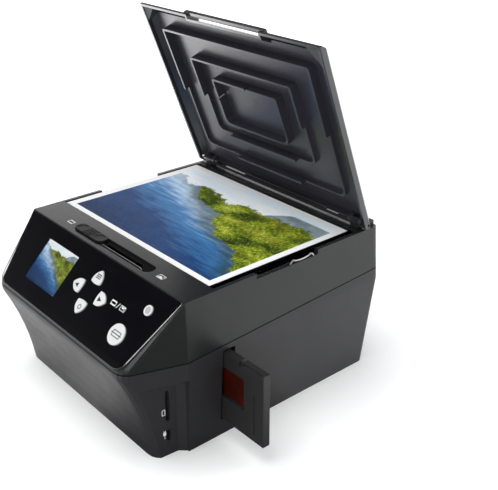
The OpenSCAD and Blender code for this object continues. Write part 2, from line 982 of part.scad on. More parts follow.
module mode_slider() {
  rib_gap = 2.2;
  top = deck_h + knob_proud;
  floor_z = deck_h - track_drop + slide_gap;
  color([0.3, 0.3, 0.31])
    translate([knob_x, track_y, 0]) {
      difference() {
        translate([0, 0, floor_z])
          stadium(knob_len, knob_w, top - floor_z);
        for (i = [-2:2])
          translate([i * rib_gap, 0, top])
            box([-0.5, -knob_w, -0.7], [0.5, knob_w, 1]);
        for (side = [-1, 1])
          translate([side * (knob_len / 2 - 6.5), 0, top - 0.35])
            stadium(9, knob_w - 2.4, 2);
      }
      box([-stem_x / 2, -stem_w / 2, link_top - 3], [stem_x / 2, stem_w / 2, floor_z + 0.1]);
    }
}

// Plate and arm that join the knob to the mirror carriage
module slider_link() {
  color([0.55, 0.55, 0.57])
    difference() {
      union() {
        translate([knob_x, track_y, link_top - link_t])
          box([-14, -5, 0], [14, 5, link_t]);
        box([link_leg_x - 4, track_y - 1.5, link_z], [link_leg_x + 4, track_y + 1.5, link_top]);
        box([link_leg_x - 4, track_y - 5, link_top - link_t], [knob_x, track_y + 5, link_top]);
        box([link_leg_x - 4, track_y - 1.5, link_z],
            [link_leg_x + 4, link_leg_y + link_t, link_z + link_t]);
        box([link_leg_x - 4, link_leg_y, carriage_z], [link_leg_x + 4, link_leg_y + link_t,
            link_z + link_t]);
        box([link_leg_x - 4, link_leg_y, carriage_z],
            [link_leg_x + 4, rod_ys[0] - 6, carriage_z + carriage_t]);
      }
      translate([knob_x, track_y, link_top])
        box([-stem_x / 2, -stem_w / 2, -3], [stem_x / 2, stem_w / 2, 1]);
    }
}

// ---------------------------------------------------------------- photo bed

module bed_glass() {
  color([0.75, 0.85, 0.9])
    translate([0, bed_front + bed_len / 2, glass_z])
      slab([bed_w - 2 * set_clear, bed_len - 2 * set_clear, glass_t], 0.8);
}

module photo_print() {
  color([0.45, 0.6, 0.75])
    translate([print_x, print_y + print_len / 2, glass_z + glass_t])
      slab([print_w, print_len, print_t], 0.2);
}

// ---------------------------------------------------------------------- lid

// Places the closed lid's own frame, opened to its rest angle: x across,
// y = -s from the rear edge to the free edge, z up from the rim tips
module in_lid() {
  translate([0, hinge_y, pivot_z])
    rotate([-lid_open, 0, 0])
      translate([0, hinge_in, -hinge_up])
        children();
}

// Solid under the lid's skin, w inside its outer faces, of height top
module lid_form(w, top) {
  half = lid_half - w;
  near = w;
  end = lid_len - w;
  side_h = side_rim_h - w * tan(22.5);
  free_h = free_rim_h - w * tan(22.5);
  low = w > 0 ? -1 : 0;
  heel = w > 0 ? 0.1 : lid_heel;
  intersection() {
    rotate([90, 0, 0])
      translate([0, 0, near])
        linear_extrude(end - near)
          polygon([[-half, low], [half, low], [half, side_h],
                   [half - top + side_h, top], [-half + top - side_h, top],
                   [-half, side_h]]);
    rotate([90, 0, 90])
      linear_extrude(2 * far, center = true)
        polygon([[-near - heel, low], [-near, low + heel], [-near, top],
                 [-end + top - free_h, top], [-end, free_h], [-end, low]]);
  }
}

// A prism across the lid, over an outline of [y, z] points
module across(half, outline) {
  rotate([90, 0, 90])
    linear_extrude(2 * half, center = true)
      polygon(outline);
}

// The wall behind the handle's slot leans back, so that fingers reach through
function slot_line(from, z) = [slot_lean * z - from, z];

module lid_shell() {
  color([0.17, 0.17, 0.19])
    in_lid()
      difference() {
        union() {
          difference() {
            lid_form(0, lid_t);
            lid_form(lid_rim, shell_floor);
          }
          intersection() {
            lid_form(0, lid_t);
            across(slot_half + lid_rim,
                   [slot_line(slot_from - slot_wall, 0), slot_line(slot_from - slot_wall, lid_t),
                    [-lid_len, lid_t], [-lid_len, 0]]);
          }
          translate([0, -lid_len + (bar_in + 0.7 - handle_out) / 2, bar_low])
            slab([handle_w, bar_in + 0.7 + handle_out, handle_t], 1.4);
          hinge_lugs();
        }
        across(slot_half,
               [slot_line(slot_from, -1), slot_line(slot_from, far), [bar_in - lid_len, far],
                [bar_in - lid_len, bar_low], [-far, bar_low], [-far, -1]]);
        hinge_notches();
        translate([0, -hinge_in, hinge_up])
          bar(pin_d + 0.04, -far, far);
        lid_slits();
      }
}

module hinge_lugs() {
  for (side = [-1, 1])
    for (out = [-1, 1])
      translate([side * hinge_x + out * (ear_w / 2 + ear_gap + lug_w / 2), -hinge_in, 0]) {
        box([-lug_w / 2, -knuckle_d / 2, hinge_up], [lug_w / 2, knuckle_d / 2 - 0.9, shell_floor + 0.2]);
        translate([0, 0, hinge_up])
          bar(knuckle_d - 0.6, -lug_w / 2, lug_w / 2);
      }
}

// Room in the rear rim for the casing's ears
module hinge_notches() {
  half = ear_w / 2 + ear_gap;
  for (side = [-1, 1])
    translate([side * hinge_x, 0, 0])
      box([-half, -lid_rim - 0.5, -2], [half, 2, shell_floor]);
}

// Long openings in the rear rim
module lid_slits() {
  for (slit = slits)
    box([slit[0], -lid_rim - 0.5, slit_low], [slit[1], 2, slit_high]);
}

// Outline of rib k, moved outward by grow
module rib_outline(k, grow) {
  half = rib_half[k] + grow;
  near = rib_near[k] - grow;
  end = rib_far[k] + grow;
  polygon(soften([[-half, -near], [-half, -end], [half, -end], [half, -near]],
                 [7 + grow, 3 + grow, 3 + grow, 7 + grow], 6));
}

module lid_liner() {
  near = hinge_in + knuckle_d / 2 + 0.4;
  bevel_in = lid_rim * (1 + tan(22.5)) + shell_floor + 0.4;
  half = lid_half + side_rim_h - bevel_in;
  end = lid_len + free_rim_h - bevel_in;
  low = lid_hollow - rib_low;
  color([0.2, 0.2, 0.23])
    in_lid()
      difference() {
        union() {
          box([-half, -end, lid_hollow], [half, -near, lid_hollow + liner_t]);
          for (k = [0:2])
            translate([0, 0, rib_below])
              linear_extrude(lid_hollow + liner_t / 2 - rib_below)
                difference() {
                  rib_outline(k, 0);
                  rib_outline(k, -rib_t);
                }
        }
        difference() {
          box([-far, -rib_step, -1], [far, 0, low]);
          box([-rib_half[2] - 1, -rib_step - 1, -2], [rib_half[2] + 1, 0, far]);
        }
        box([-rib_half[2] - 1, -80, -1], [-rib_half[2] + rib_t + 1, -78, lid_hollow - 1]);
        box([2, -rib_far[2] - 1, -1], [4, -rib_far[2] + rib_t + 1, lid_hollow - 1]);
        box([-slot_half - lid_rim - 0.4, -far, -1],
            [slot_half + lid_rim + 0.4, slot_lean * shell_floor - slot_from + slot_wall + 0.4, far]);
      }
}

// Soft gussets in the free corners
module lid_bumpers() {
  leg = 13;
  half = lid_half - lid_rim - 0.1;
  end = lid_len - lid_rim - 0.1;
  color([0.75, 0.75, 0.76])
    in_lid()
      for (side = [-1, 1])
        scale([side, 1, 1])
          intersection() {
            lid_form(lid_rim + 0.1, lid_hollow - 0.05);
            translate([0, 0, rib_below])
              linear_extrude(lid_hollow)
                polygon([[half, -end], [half, -end + leg], [half - leg, -end]]);
          }
}

module hinge_pins() {
  color([0.75, 0.75, 0.77])
    for (side = [-1, 1])
      translate([side * hinge_x, hinge_y, pivot_z])
        bar(pin_d, -pin_len / 2, pin_len / 2);
}

// --------------------------------------------------------------------- film

module film_windows() {
  for (i = [0:frames - 1])
    translate([gate_x + i * frame_pitch, 0, film_z])
      box([-frame_len / 2, 0, -frame_h / 2], [frame_len / 2, far, frame_h / 2]);
}

module holder_front() {
  color([0.17, 0.18, 0.19])
    difference() {
      box([holder_left, holder_y, holder_bottom],
          [holder_right, film_y, holder_bottom + holder_h]);
      film_windows();
      translate([holder_right - 9, holder_y, holder_bottom + 6])
        box([-0.5, -1, 0], [0.5, 0.6, 30]);
      box([holder_right - 20, holder_y - 1, holder_bottom + holder_h - 1.6],
          [holder_right - 1.6, holder_y + 1.6, holder_bottom + holder_h + 1]);
      box([holder_right - 24, holder_y - 1, holder_bottom + holder_h - 4],
          [holder_right - 21.5, film_y + 1, holder_bottom + holder_h + 1]);
    }
}

module holder_rear() {
  strip = frames * frame_pitch;
  color([0.19, 0.2, 0.21])
    difference() {
      box([holder_left, film_y, holder_bottom],
          [holder_right, film_y + holder_t / 2, holder_bottom + holder_h]);
      film_windows();
      translate([holder_mid_x, 0, film_z])
        box([-strip / 2 - 0.3, film_y - 1, -film_h / 2 - 0.3],
            [strip / 2 + 0.3, film_y + film_t + 0.06, film_h / 2 + 0.3]);
      box([holder_right - 24, film_y - 1, holder_bottom + holder_h - 4],
          [holder_right - 21.5, film_y + far, holder_bottom + holder_h + 1]);
    }
}

module film_strip() {
  strip = frames * frame_pitch;
  color([0.35, 0.08, 0.03])
    translate([holder_mid_x, 0, film_z])
      box([-strip / 2, film_y, -film_h / 2], [strip / 2, film_y + film_t, film_h / 2]);
}

// Channel that carries the holder through the body, with the film gate
module film_guide() {
  gate = [frame_len + 3, frame_h + 3];
  color([0.12, 0.12, 0.13])
    difference() {
      box([-guide_half, guide_front, guide_bottom],
          [guide_half, guide_rear + guide_t, guide_top]);
      box([-guide_half - 1, guide_front + guide_t, guide_bottom + guide_t],
          [guide_half + 1, guide_rear, guide_top - guide_t]);
      translate([gate_x, 0, film_z])
        box([-gate.x / 2, 0, -gate.y / 2], [gate.x / 2, far, gate.y / 2]);
    }
}

// Leaf springs that steady the holder
module holder_springs() {
  color([0.8, 0.8, 0.82])
    for (x = [-56, 44])
      box([x, guide_rear - 0.3, holder_bottom + 6], [x + 8, guide_rear, holder_bottom + 50]);
}

// ---------------------------------------------------------------- backlight

module light_box() {
  size = [light_w, light_h];
  color([0.9, 0.9, 0.9])
    translate([gate_x, guide_front, film_z])
      difference() {
        box([-size.x / 2, -light_depth, -size.y / 2], [size.x / 2, 0, size.y / 2]);
        box([-size.x / 2 + box_wall, -light_depth - 1, -size.y / 2 + box_wall],
            [size.x / 2 - box_wall, 1, size.y / 2 - box_wall]);
      }
}

module light_diffuser() {
  color([0.97, 0.97, 0.95])
    translate([gate_x, guide_front, film_z])
      box([-light_w / 2 + box_wall + 0.1, -diffuser_t, -light_h / 2 + box_wall + 0.1],
          [light_w / 2 - box_wall - 0.1, 0, light_h / 2 - box_wall - 0.1]);
}

module light_board() {
  color([0.1, 0.35, 0.2])
    translate([gate_x, guide_front - light_depth, film_z])
      box([-light_w / 2, -board_t, -light_h / 2], [light_w / 2, 0, light_h / 2]);
}

module light_leds() {
  color([1, 0.95, 0.6])
    for (i = [-1:1])
      for (j = [-1, 1])
        translate([gate_x + i * 13, guide_front - light_depth, film_z + j * 8])
          box([-2.5, 0, -2.5], [2.5, 1.4, 2.5]);
}

// ------------------------------------------------------------------- optics

module rods(d, clear) {
  for (y = rod_ys)
    translate([0, y, rod_z])
      bar(d + clear, -rod_half, rod_half);
}

module carriage_rods() {
  color([0.8, 0.8, 0.82])
    rods(rod_d, 0);
}

module carriage_bushes() {
  outer = rod_d + 2 * run_clear + 2 * bush_wall;
  color([0.75, 0.6, 0.25])
    for (y = rod_ys)
      for (x = bush_xs)
        translate([x, y, rod_z])
          difference() {
            bar(outer, 0, bush_len);
            bar(rod_d + 2 * run_clear, -1, bush_len + 1);
          }
}

module mirror_carriage() {
  bush_d = rod_d + 2 * run_clear + 2 * bush_wall;
  face = mirror_len / 2;
  reach = face * cos(45);
  foot = carriage_z + 1 - film_z;
  lens_w = close_d + 8;
  color([0.28, 0.28, 0.3])
    difference() {
      union() {
        box([carriage_left, rod_ys[0] - 6, carriage_z],
            [carriage_right, rod_ys[1] + 6, carriage_z + carriage_t]);
        for (y = rod_ys)
          for (x = bush_xs)
            translate([x, y, 0])
              box([0, -4, rod_z - 4], [bush_len, 4, carriage_z + 0.1]);
        // Cheeks on both sides of the mirror
        for (side = [-1, 1])
          translate([mirror_x + side * (mirror_w / 2 + cheek_t / 2 + 0.1), mirror_y, film_z])
            rotate([90, 0, 90])
              linear_extrude(cheek_t, center = true)
                polygon([[-reach - 3, foot], [reach, foot], [reach, -reach],
                         [-reach, reach], [-reach - 3, reach]]);
        at_mirror()
          box([-mirror_w / 2 - cheek_t, -face + 2, -mirror_t - 1.2],
              [mirror_w / 2 + cheek_t, face - 2, -mirror_t]);
        // Upright ring of the close-up lens
        translate([gate_x, close_y, 0])
          box([-lens_w / 2, -2, carriage_z + 1], [lens_w / 2, 2, film_z + close_d / 2 + 4]);
      }
      for (y = rod_ys)
        translate([0, y, rod_z])
          bar(bush_d + 0.04, -far, far);
      translate([gate_x, close_y - 3, film_z])
        rotate([-90, 0, 0])
          cylinder(d = close_d - 2, h = 9);
      translate([gate_x, close_y - 1, film_z])
        rotate([-90, 0, 0])
          cylinder(d = close_d + 0.1, h = 9);
    }
}

// Places children on the mirror, whose face looks up and to the rear
module at_mirror() {
  translate([mirror_x, mirror_y, film_z])
    rotate([-45, 0, 0])
      children();
}

module fold_mirror() {
  color([0.85, 0.88, 0.9])
    at_mirror()
      box([-mirror_w / 2, -mirror_len / 2, -mirror_t], [mirror_w / 2, mirror_len / 2, 0]);
}

module close_up_lens() {
  color([0.7, 0.8, 0.9])
    translate([gate_x, close_y - 1, film_z])
      rotate([-90, 0, 0])
        cylinder(d = close_d, h = 2.4);
}

module camera_bracket() {
  color([0.2, 0.2, 0.22])
    difference() {
      translate([gate_x, 0, 0]) {
        box([-20, sensor_y - 3, wall], [20, sensor_y, film_z + 18]);
        box([-20, sensor_y - 3, wall], [20, sensor_y + 14, wall + 3]);
        translate([0, camera_y, film_z])
          rotate([-90, 0, 0])
            cylinder(d = barrel_d + 6, h = boss_len);
      }
      translate([gate_x, camera_y - 1, film_z])
        rotate([-90, 0, 0])
          cylinder(d = barrel_d + 2 * run_clear, h = far);
    }
}

module lens_barrel() {
  front = camera_y + boss_len - 2.2 - barrel_len;
  color([0.08, 0.08, 0.09])
    translate([gate_x, front, film_z])
      rotate([-90, 0, 0])
        difference() {
          cylinder(d = barrel_d, h = barrel_len);
          translate([0, 0, -1])
            cylinder(d = barrel_d - 5, h = 4);
          cylinder(d = barrel_d - 9, h = barrel_len + 1);
        }
}

module lens_glass() {
  front = camera_y + boss_len - 2.2 - barrel_len;
  color([0.6, 0.75, 0.9])
    translate([gate_x, front + 1, film_z])
      rotate([-90, 0, 0])
        cylinder(d = barrel_d - 5.1, h = 2);
}

module sensor_board() {
  color([0.1, 0.35, 0.2])
    translate([gate_x, sensor_y, film_z])
      box([-17, 0, -17], [17, board_t, 17]);
}

module image_sensor() {
  color([0.2, 0.2, 0.35])
    translate([gate_x, sensor_y, film_z])
      box([-6, -1.6, -4.5], [6, 0, 4.5]);
}

module photo_light_boards() {
  color([0.9, 0.9, 0.88])
    for (side = [-1, 1])
      translate([side * (side_x - 9), 0, shelf_z])
        box([-3.5, shelf_front + 2, 0], [3.5, shelf_rear - 2, board_t]);
}

module photo_light_leds() {
  color([1, 0.95, 0.6])
    for (side = [-1, 1])
      for (i = [0:5])
        translate([side * (side_x - 9), blend(shelf_front + 10, shelf_rear - 10, i / 5), shelf_z + board_t])
          box([-1.75, -2.5, 0], [1.75, 2.5, 1.2]);
}

// ------------------------------------------------------------------- boards

module main_board() {
  color([0.1, 0.35, 0.2])
    box([14, board_rear - 46, board_z], [82, board_rear, board_z + board_t]);
}

module main_chips() {
  color([0.12, 0.12, 0.13])
    translate([0, board_rear, board_z + board_t]) {
      box([34, -30, 0], [48, -16, 1.6]);
      box([56, -32, 0], [66, -14, 1.2]);
      box([20, -42, 0], [28, -38, 5]);
      box([60, -8, 0], [74, -3, 6]);
    }
}

module port_board() {
  color([0.1, 0.35, 0.2])
    box([56, -port_board_out - board_t, 8], [port_x - wall - 0.6, -port_board_out, 56]);
}

module card_socket() {
  front = -port_board_out - board_t;
  outer = port_x - wall - 0.5;
  color([0.75, 0.75, 0.77])
    difference() {
      box([outer - 24, front - 4.2, card_z - card_len / 2 - 1.2],
          [outer, front, card_z + card_len / 2 + 1.2]);
      box([outer - 22, -port_out - card_w / 2 + 0.3, card_z - card_len / 2 + 0.4],
          [outer + 1, -port_out + card_w / 2 - 0.6, card_z + card_len / 2 - 0.4]);
    }
}

module usb_socket() {
  front = -port_board_out - board_t;
  outer = port_x - wall - 0.5;
  color([0.8, 0.8, 0.82])
    difference() {
      box([outer - 9, front - 3.6, usb_z - usb_h / 2 + 0.3],
          [outer, front, usb_z + usb_h / 2 - 0.3]);
      box([outer - 7.5, front - 3, usb_z - usb_h / 2 + 0.9],
          [outer + 1, front - 0.6, usb_z + usb_h / 2 - 0.9]);
    }
}

// Brings the deck's own frame to the middle of the base
module set_down() {
  translate([0, -base_mid, 0])
    children();
}

set_down() lower_casing();
set_down() upper_casing();
set_down() panel_inlay();
set_down() lcd_window();
set_down() lcd_module();
set_down() lcd_frame();
set_down() key_left();
set_down() key_right();
set_down() key_up();
set_down() key_down();
set_down() scan_button();
set_down() power_button();
set_down() power_ring();
set_down() button_board();
set_down() button_switches();
set_down() lcd_ribbon();
set_down() mode_slider();
set_down() slider_link();
set_down() bed_glass();
set_down() photo_print();
set_down() lid_shell();
set_down() lid_liner();
set_down() lid_bumpers();
set_down() hinge_pins();
set_down() holder_front();
set_down() holder_rear();
set_down() film_strip();
set_down() film_guide();
set_down() holder_springs();
set_down() light_box();
set_down() light_diffuser();
set_down() light_board();
set_down() light_leds();
set_down() mirror_carriage();
set_down() carriage_bushes();
set_down() carriage_rods();
set_down() fold_mirror();
set_down() close_up_lens();
set_down() camera_bracket();
set_down() lens_barrel();
set_down() lens_glass();
set_down() sensor_board();
set_down() image_sensor();
set_down() photo_light_boards();
set_down() photo_light_leds();
set_down() main_board();
set_down() main_chips();
set_down() port_board();
set_down() card_socket();
set_down() usb_socket();
set_down() case_screws();
set_down() rubber_feet();
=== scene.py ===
"""Looks of the film and photo scanner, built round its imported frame. Metres, Z up."""
import json
import math

import bmesh
import bpy
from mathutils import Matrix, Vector


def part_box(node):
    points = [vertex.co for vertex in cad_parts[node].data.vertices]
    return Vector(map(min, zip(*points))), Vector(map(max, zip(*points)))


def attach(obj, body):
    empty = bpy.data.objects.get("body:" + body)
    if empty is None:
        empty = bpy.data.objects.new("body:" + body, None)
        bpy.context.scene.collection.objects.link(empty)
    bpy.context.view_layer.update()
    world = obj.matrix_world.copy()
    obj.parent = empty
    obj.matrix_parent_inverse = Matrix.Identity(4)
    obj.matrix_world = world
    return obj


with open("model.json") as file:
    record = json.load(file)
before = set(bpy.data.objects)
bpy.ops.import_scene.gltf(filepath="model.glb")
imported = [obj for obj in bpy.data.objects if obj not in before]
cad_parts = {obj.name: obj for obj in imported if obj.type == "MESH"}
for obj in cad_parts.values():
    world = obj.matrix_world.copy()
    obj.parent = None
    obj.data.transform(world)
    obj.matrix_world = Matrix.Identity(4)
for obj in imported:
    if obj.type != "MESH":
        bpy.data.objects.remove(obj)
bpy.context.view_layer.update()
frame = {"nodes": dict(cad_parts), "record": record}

MM = 0.001
nodes = frame["nodes"]

# Places that the added pieces share with the frame, in millimetres
DECK_FRONT, DECK_TOP = -75.0, 116.4   # y and z of the deck's front edge
TILT = math.radians(44.141)           # slope of the panel
INLAY_NARROW = 0.345                  # how fast the panel narrows as y falls
INLAY_TOP, KEY_TOP = 0.22, 0.9        # out of the panel
TRACK_MIDDLE, TRACK_FLOOR = 9.3, -1.3  # behind the deck's front edge, and up
LID_AXIS = (88.5, 120.3)              # y and z of the hinge
LID_TURN = math.radians(68.9)
LID_HOLLOW = 7.25                     # from the rim tips to the inner face
PORT_FACE = (85.6, -16.0)             # x, and y from DECK_FRONT, of its front edge
PORT_TURN = math.radians(5)
SEAM_FRONT, SEAM_SLOPE = 73.7, 8.8 / 178

# The dark flag on the camera's side
FRONT_FLAG = (0.79, -0.61, 0.0)

# Name, place, target, edge length and power of each lamp
LAMPS = (
    ("top_lamp", (-0.4, -0.8, 3.0), (0, 0, 0.1), 2.0, 66),
    ("rear_lamp", (0.65, 0.9, 1.1), (0.05, 0, 0.1), 0.6, 3),
    ("left_lamp", (-0.38, 0.03, 0.01), (-0.1, 0.1, 0.4), 0.44, 2.0),
    ("front_lamp", (1.02, -1.23, 0.42), (0.09, -0.1, 0.1), 0.45, 6),
)


# ------------------------------------------------------------ camera and light

def make_camera():
    data = bpy.data.cameras.new("camera")
    data.lens = 61.84
    data.sensor_width = 36
    data.clip_start = 0.01
    cam = bpy.data.objects.new("camera", data)
    cam.location = (0.4648, -0.3410, 0.3766)
    cam.rotation_euler = (math.radians(64.059), 0, math.radians(49.318))
    bpy.context.scene.collection.objects.link(cam)
    bpy.context.scene.camera = cam


def make_lamp(name, place, target, edge, power):
    data = bpy.data.lights.new(name, "AREA")
    data.shape = "RECTANGLE"
    data.size = data.size_y = edge
    data.energy = power
    lamp = bpy.data.objects.new(name, data)
    lamp.location = place
    lamp.rotation_euler = (Vector(target) - Vector(place)).to_track_quat("-Z", "Y").to_euler()
    lamp.visible_camera = False
    bpy.context.scene.collection.objects.link(lamp)


def combine(tree, operation, a, b):
    made = tree.nodes.new("ShaderNodeMath")
    made.operation = operation
    tree.links.new(a, made.inputs[0])
    tree.links.new(b, made.inputs[1])
    return made.outputs[0]


def seen_directly(tree):
    """1 for camera, glossy and transmission rays, 0 for diffuse ones. Also glossy rays alone."""
    path = tree.nodes.new("ShaderNodeLightPath").outputs
    total = path["Is Camera Ray"]
    for kind in ("Is Glossy Ray", "Is Transmission Ray"):
        total = combine(tree, "MAXIMUM", total, path[kind])
    return total, path["Is Glossy Ray"]


def add_flag(tree, where, towards, span):
    """Goes from one value to another as a direction nears the flag's own.

    span holds the cosines where it starts and ends, and then the two values.
    """
    lobe = tree.nodes.new("ShaderNodeVectorMath")
    lobe.operation = "DOT_PRODUCT"
    lobe.inputs[1].default_value = Vector(towards).normalized()
    tree.links.new(where, lobe.inputs[0])
    flag = tree.nodes.new("ShaderNodeMapRange")
    flag.interpolation_type = "SMOOTHSTEP"
    for i, value in zip(range(1, 5), span):
        flag.inputs[i].default_value = value
    tree.links.new(lobe.outputs["Value"], flag.inputs[0])
    return flag.outputs[0]


def make_world():
    world = bpy.data.worlds.new("studio")
    bpy.context.scene.world = world
    world.use_nodes = True
    tree = world.node_tree
    tree.nodes.clear()
    seen, glossy = seen_directly(tree)
    add, link = tree.nodes.new, tree.links.new

    # Dark flags: where the glossy panel mirrors one, on the camera's side, and overhead
    where = add("ShaderNodeTexCoord").outputs["Generated"]
    panel_flag = add_flag(tree, where, (-0.74, -0.53, 0.41), (0.42, 0.86, 1.0, 0.12))
    front_flag = add_flag(tree, where, FRONT_FLAG, (0.1, 0.9, 1.0, 0.10))
    top_flag = add_flag(tree, where, (0, 0, 1), (0.36, 0.47, 1.0, 0.06))
    flags = combine(tree, "MULTIPLY", panel_flag, front_flag)
    flags = combine(tree, "MULTIPLY", flags, top_flag)
    mirrored = add("ShaderNodeMix")
    mirrored.inputs["A"].default_value = 1.0
    link(glossy, mirrored.inputs["Factor"])
    link(flags, mirrored.inputs["B"])

    soft = add("ShaderNodeBackground")
    soft.inputs["Color"].default_value = (0.96, 0.98, 1.0, 1)
    soft.inputs["Strength"].default_value = 0.5
    white = add("ShaderNodeBackground")
    white.inputs["Color"].default_value = (1, 1, 1, 1)
    link(mirrored.outputs[0], white.inputs["Strength"])
    both = add("ShaderNodeMixShader")
    out = add("ShaderNodeOutputWorld")
    link(seen, both.inputs[0])
    link(soft.outputs[0], both.inputs[1])
    link(white.outputs[0], both.inputs[2])
    link(both.outputs[0], out.inputs["Surface"])


def make_floor():
    material = bpy.data.materials.new("floor_white")
    material.use_nodes = True
    tree = material.node_tree
    tree.nodes.clear()
    seen, glossy = seen_directly(tree)
    add, link = tree.nodes.new, tree.links.new
    paper = add("ShaderNodeBsdfDiffuse")
    paper.inputs["Color"].default_value = (0.82, 0.82, 0.82, 1)
    away = add("ShaderNodeVectorMath")
    away.operation = "LENGTH"
    spot = add("ShaderNodeTexCoord").outputs["Object"]
    link(spot, away.inputs[0])
    lift = add("ShaderNodeMapRange")
    for i, value in zip(range(1, 5), (0.22, 1.1, 0.24, 0.9)):
        lift.inputs[i].default_value = value
    link(away.outputs["Value"], lift.inputs[0])
    glow = add("ShaderNodeEmission")
    both = add("ShaderNodeAddShader")
    link(combine(tree, "MULTIPLY", seen, lift.outputs[0]), glow.inputs["Strength"])
    link(paper.outputs[0], both.inputs[0])
    link(glow.outputs[0], both.inputs[1])

    # The front flag lies on the floor too, for glossy rays alone
    outward = add("ShaderNodeVectorMath")
    outward.operation = "NORMALIZE"
    link(spot, outward.inputs[0])
    flag = add_flag(tree, outward.outputs[0], FRONT_FLAG, (0.6, 0.96, 0.0, 0.9))
    dark = add("ShaderNodeBsdfDiffuse")
    dark.inputs["Color"].default_value = (0.02, 0.02, 0.02, 1)
    laid = add("ShaderNodeMixShader")
    link(combine(tree, "MULTIPLY", glossy, flag), laid.inputs[0])
    link(both.outputs[0], laid.inputs[1])
    link(dark.outputs[0], laid.inputs[2])
    link(laid.outputs[0], add("ShaderNodeOutputMaterial").inputs["Surface"])
    form = bmesh.new()
    bmesh.ops.create_circle(form, cap_ends=True, radius=6, segments=96)
    place_mesh("floor", form, material)


# --------------------------------------------------------------------- meshes

def place_mesh(name, form, material):
    mesh = bpy.data.meshes.new(name)
    form.to_mesh(mesh)
    form.free()
    mesh.materials.append(material)
    piece = bpy.data.objects.new(name, mesh)
    bpy.context.scene.collection.objects.link(piece)
    return piece


def on_panel(x, s, out):
    """A point of the sloping panel: x across, s down the slope, out of it."""
    return Vector((x, DECK_FRONT - s * math.cos(TILT) - out * math.sin(TILT),
                   DECK_TOP - s * math.sin(TILT) + out * math.cos(TILT))) * MM


def on_deck(x, y, up):
    """A point of the deck: y behind its front edge, up from the deck."""
    return Vector((x, DECK_FRONT + y, DECK_TOP + up)) * MM


def in_lid(x, s, n):
    """A point of the opened lid: s from its rear edge, n up from the closed rim tips."""
    y, z = 2.4 - s, n - 3.6
    return Vector((x, LID_AXIS[0] + y * math.cos(LID_TURN) + z * math.sin(LID_TURN),
                   LID_AXIS[1] - y * math.sin(LID_TURN) + z * math.cos(LID_TURN))) * MM


def on_ports(a, z, out):
    """A point of the port face: a behind its front edge, z above the table, out of it."""
    return Vector((PORT_FACE[0] + a * math.sin(PORT_TURN) + out * math.cos(PORT_TURN),
                   DECK_FRONT + PORT_FACE[1] + a * math.cos(PORT_TURN)
                   - out * math.sin(PORT_TURN), z)) * MM


def join_rows(form, rows):
    """Faces from each closed row of vertices to the next one."""
    for near, far in zip(rows, rows[1:]):
        for i in range(len(near)):
            j = (i + 1) % len(near)
            form.faces.new((near[i], near[j], far[j], far[i]))


def add_plate(form, outline, place, low, high):
    """A flat plate over a closed outline; place turns (a, b, height) into a point."""
    lower = [form.verts.new(place(a, b, low)) for a, b in outline]
    upper = [form.verts.new(place(a, b, high)) for a, b in outline]
    form.faces.new(lower)
    form.faces.new(upper)
    join_rows(form, [lower, upper])


def add_ring(form, outer, inner, place, low, high):
    """A flat frame between two outlines with the same number of points."""
    rows = [[form.verts.new(place(a, b, h)) for a, b in line]
            for line, h in ((outer, low), (outer, high), (inner, high), (inner, low))]
    join_rows(form, rows + rows[:1])


def round_box(x, y, w, h, r, steps=4):
    """Outline of a rectangle with round corners, about (x, y)."""
    line = []
    for k, (sx, sy) in enumerate(((1, 1), (-1, 1), (-1, -1), (1, -1))):
        for i in range(steps + 1):
            turn = math.pi / 2 * (k + i / steps)
            line.append((x + sx * (w / 2 - r) + r * math.cos(turn),
                         y + sy * (h / 2 - r) + r * math.sin(turn)))
    return line


def disc(x, y, r, steps=32):
    """Outline of a circle about (x, y)."""
    turns = [2 * math.pi * i / steps for i in range(steps)]
    return [(x + r * math.cos(turn), y + r * math.sin(turn)) for turn in turns]


def finish_piece(name, form, look, body):
    bmesh.ops.recalc_face_normals(form, faces=form.faces)
    piece = place_mesh(name, form, look.material)
    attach(piece, body)


# ------------------------------------------------------------------ materials

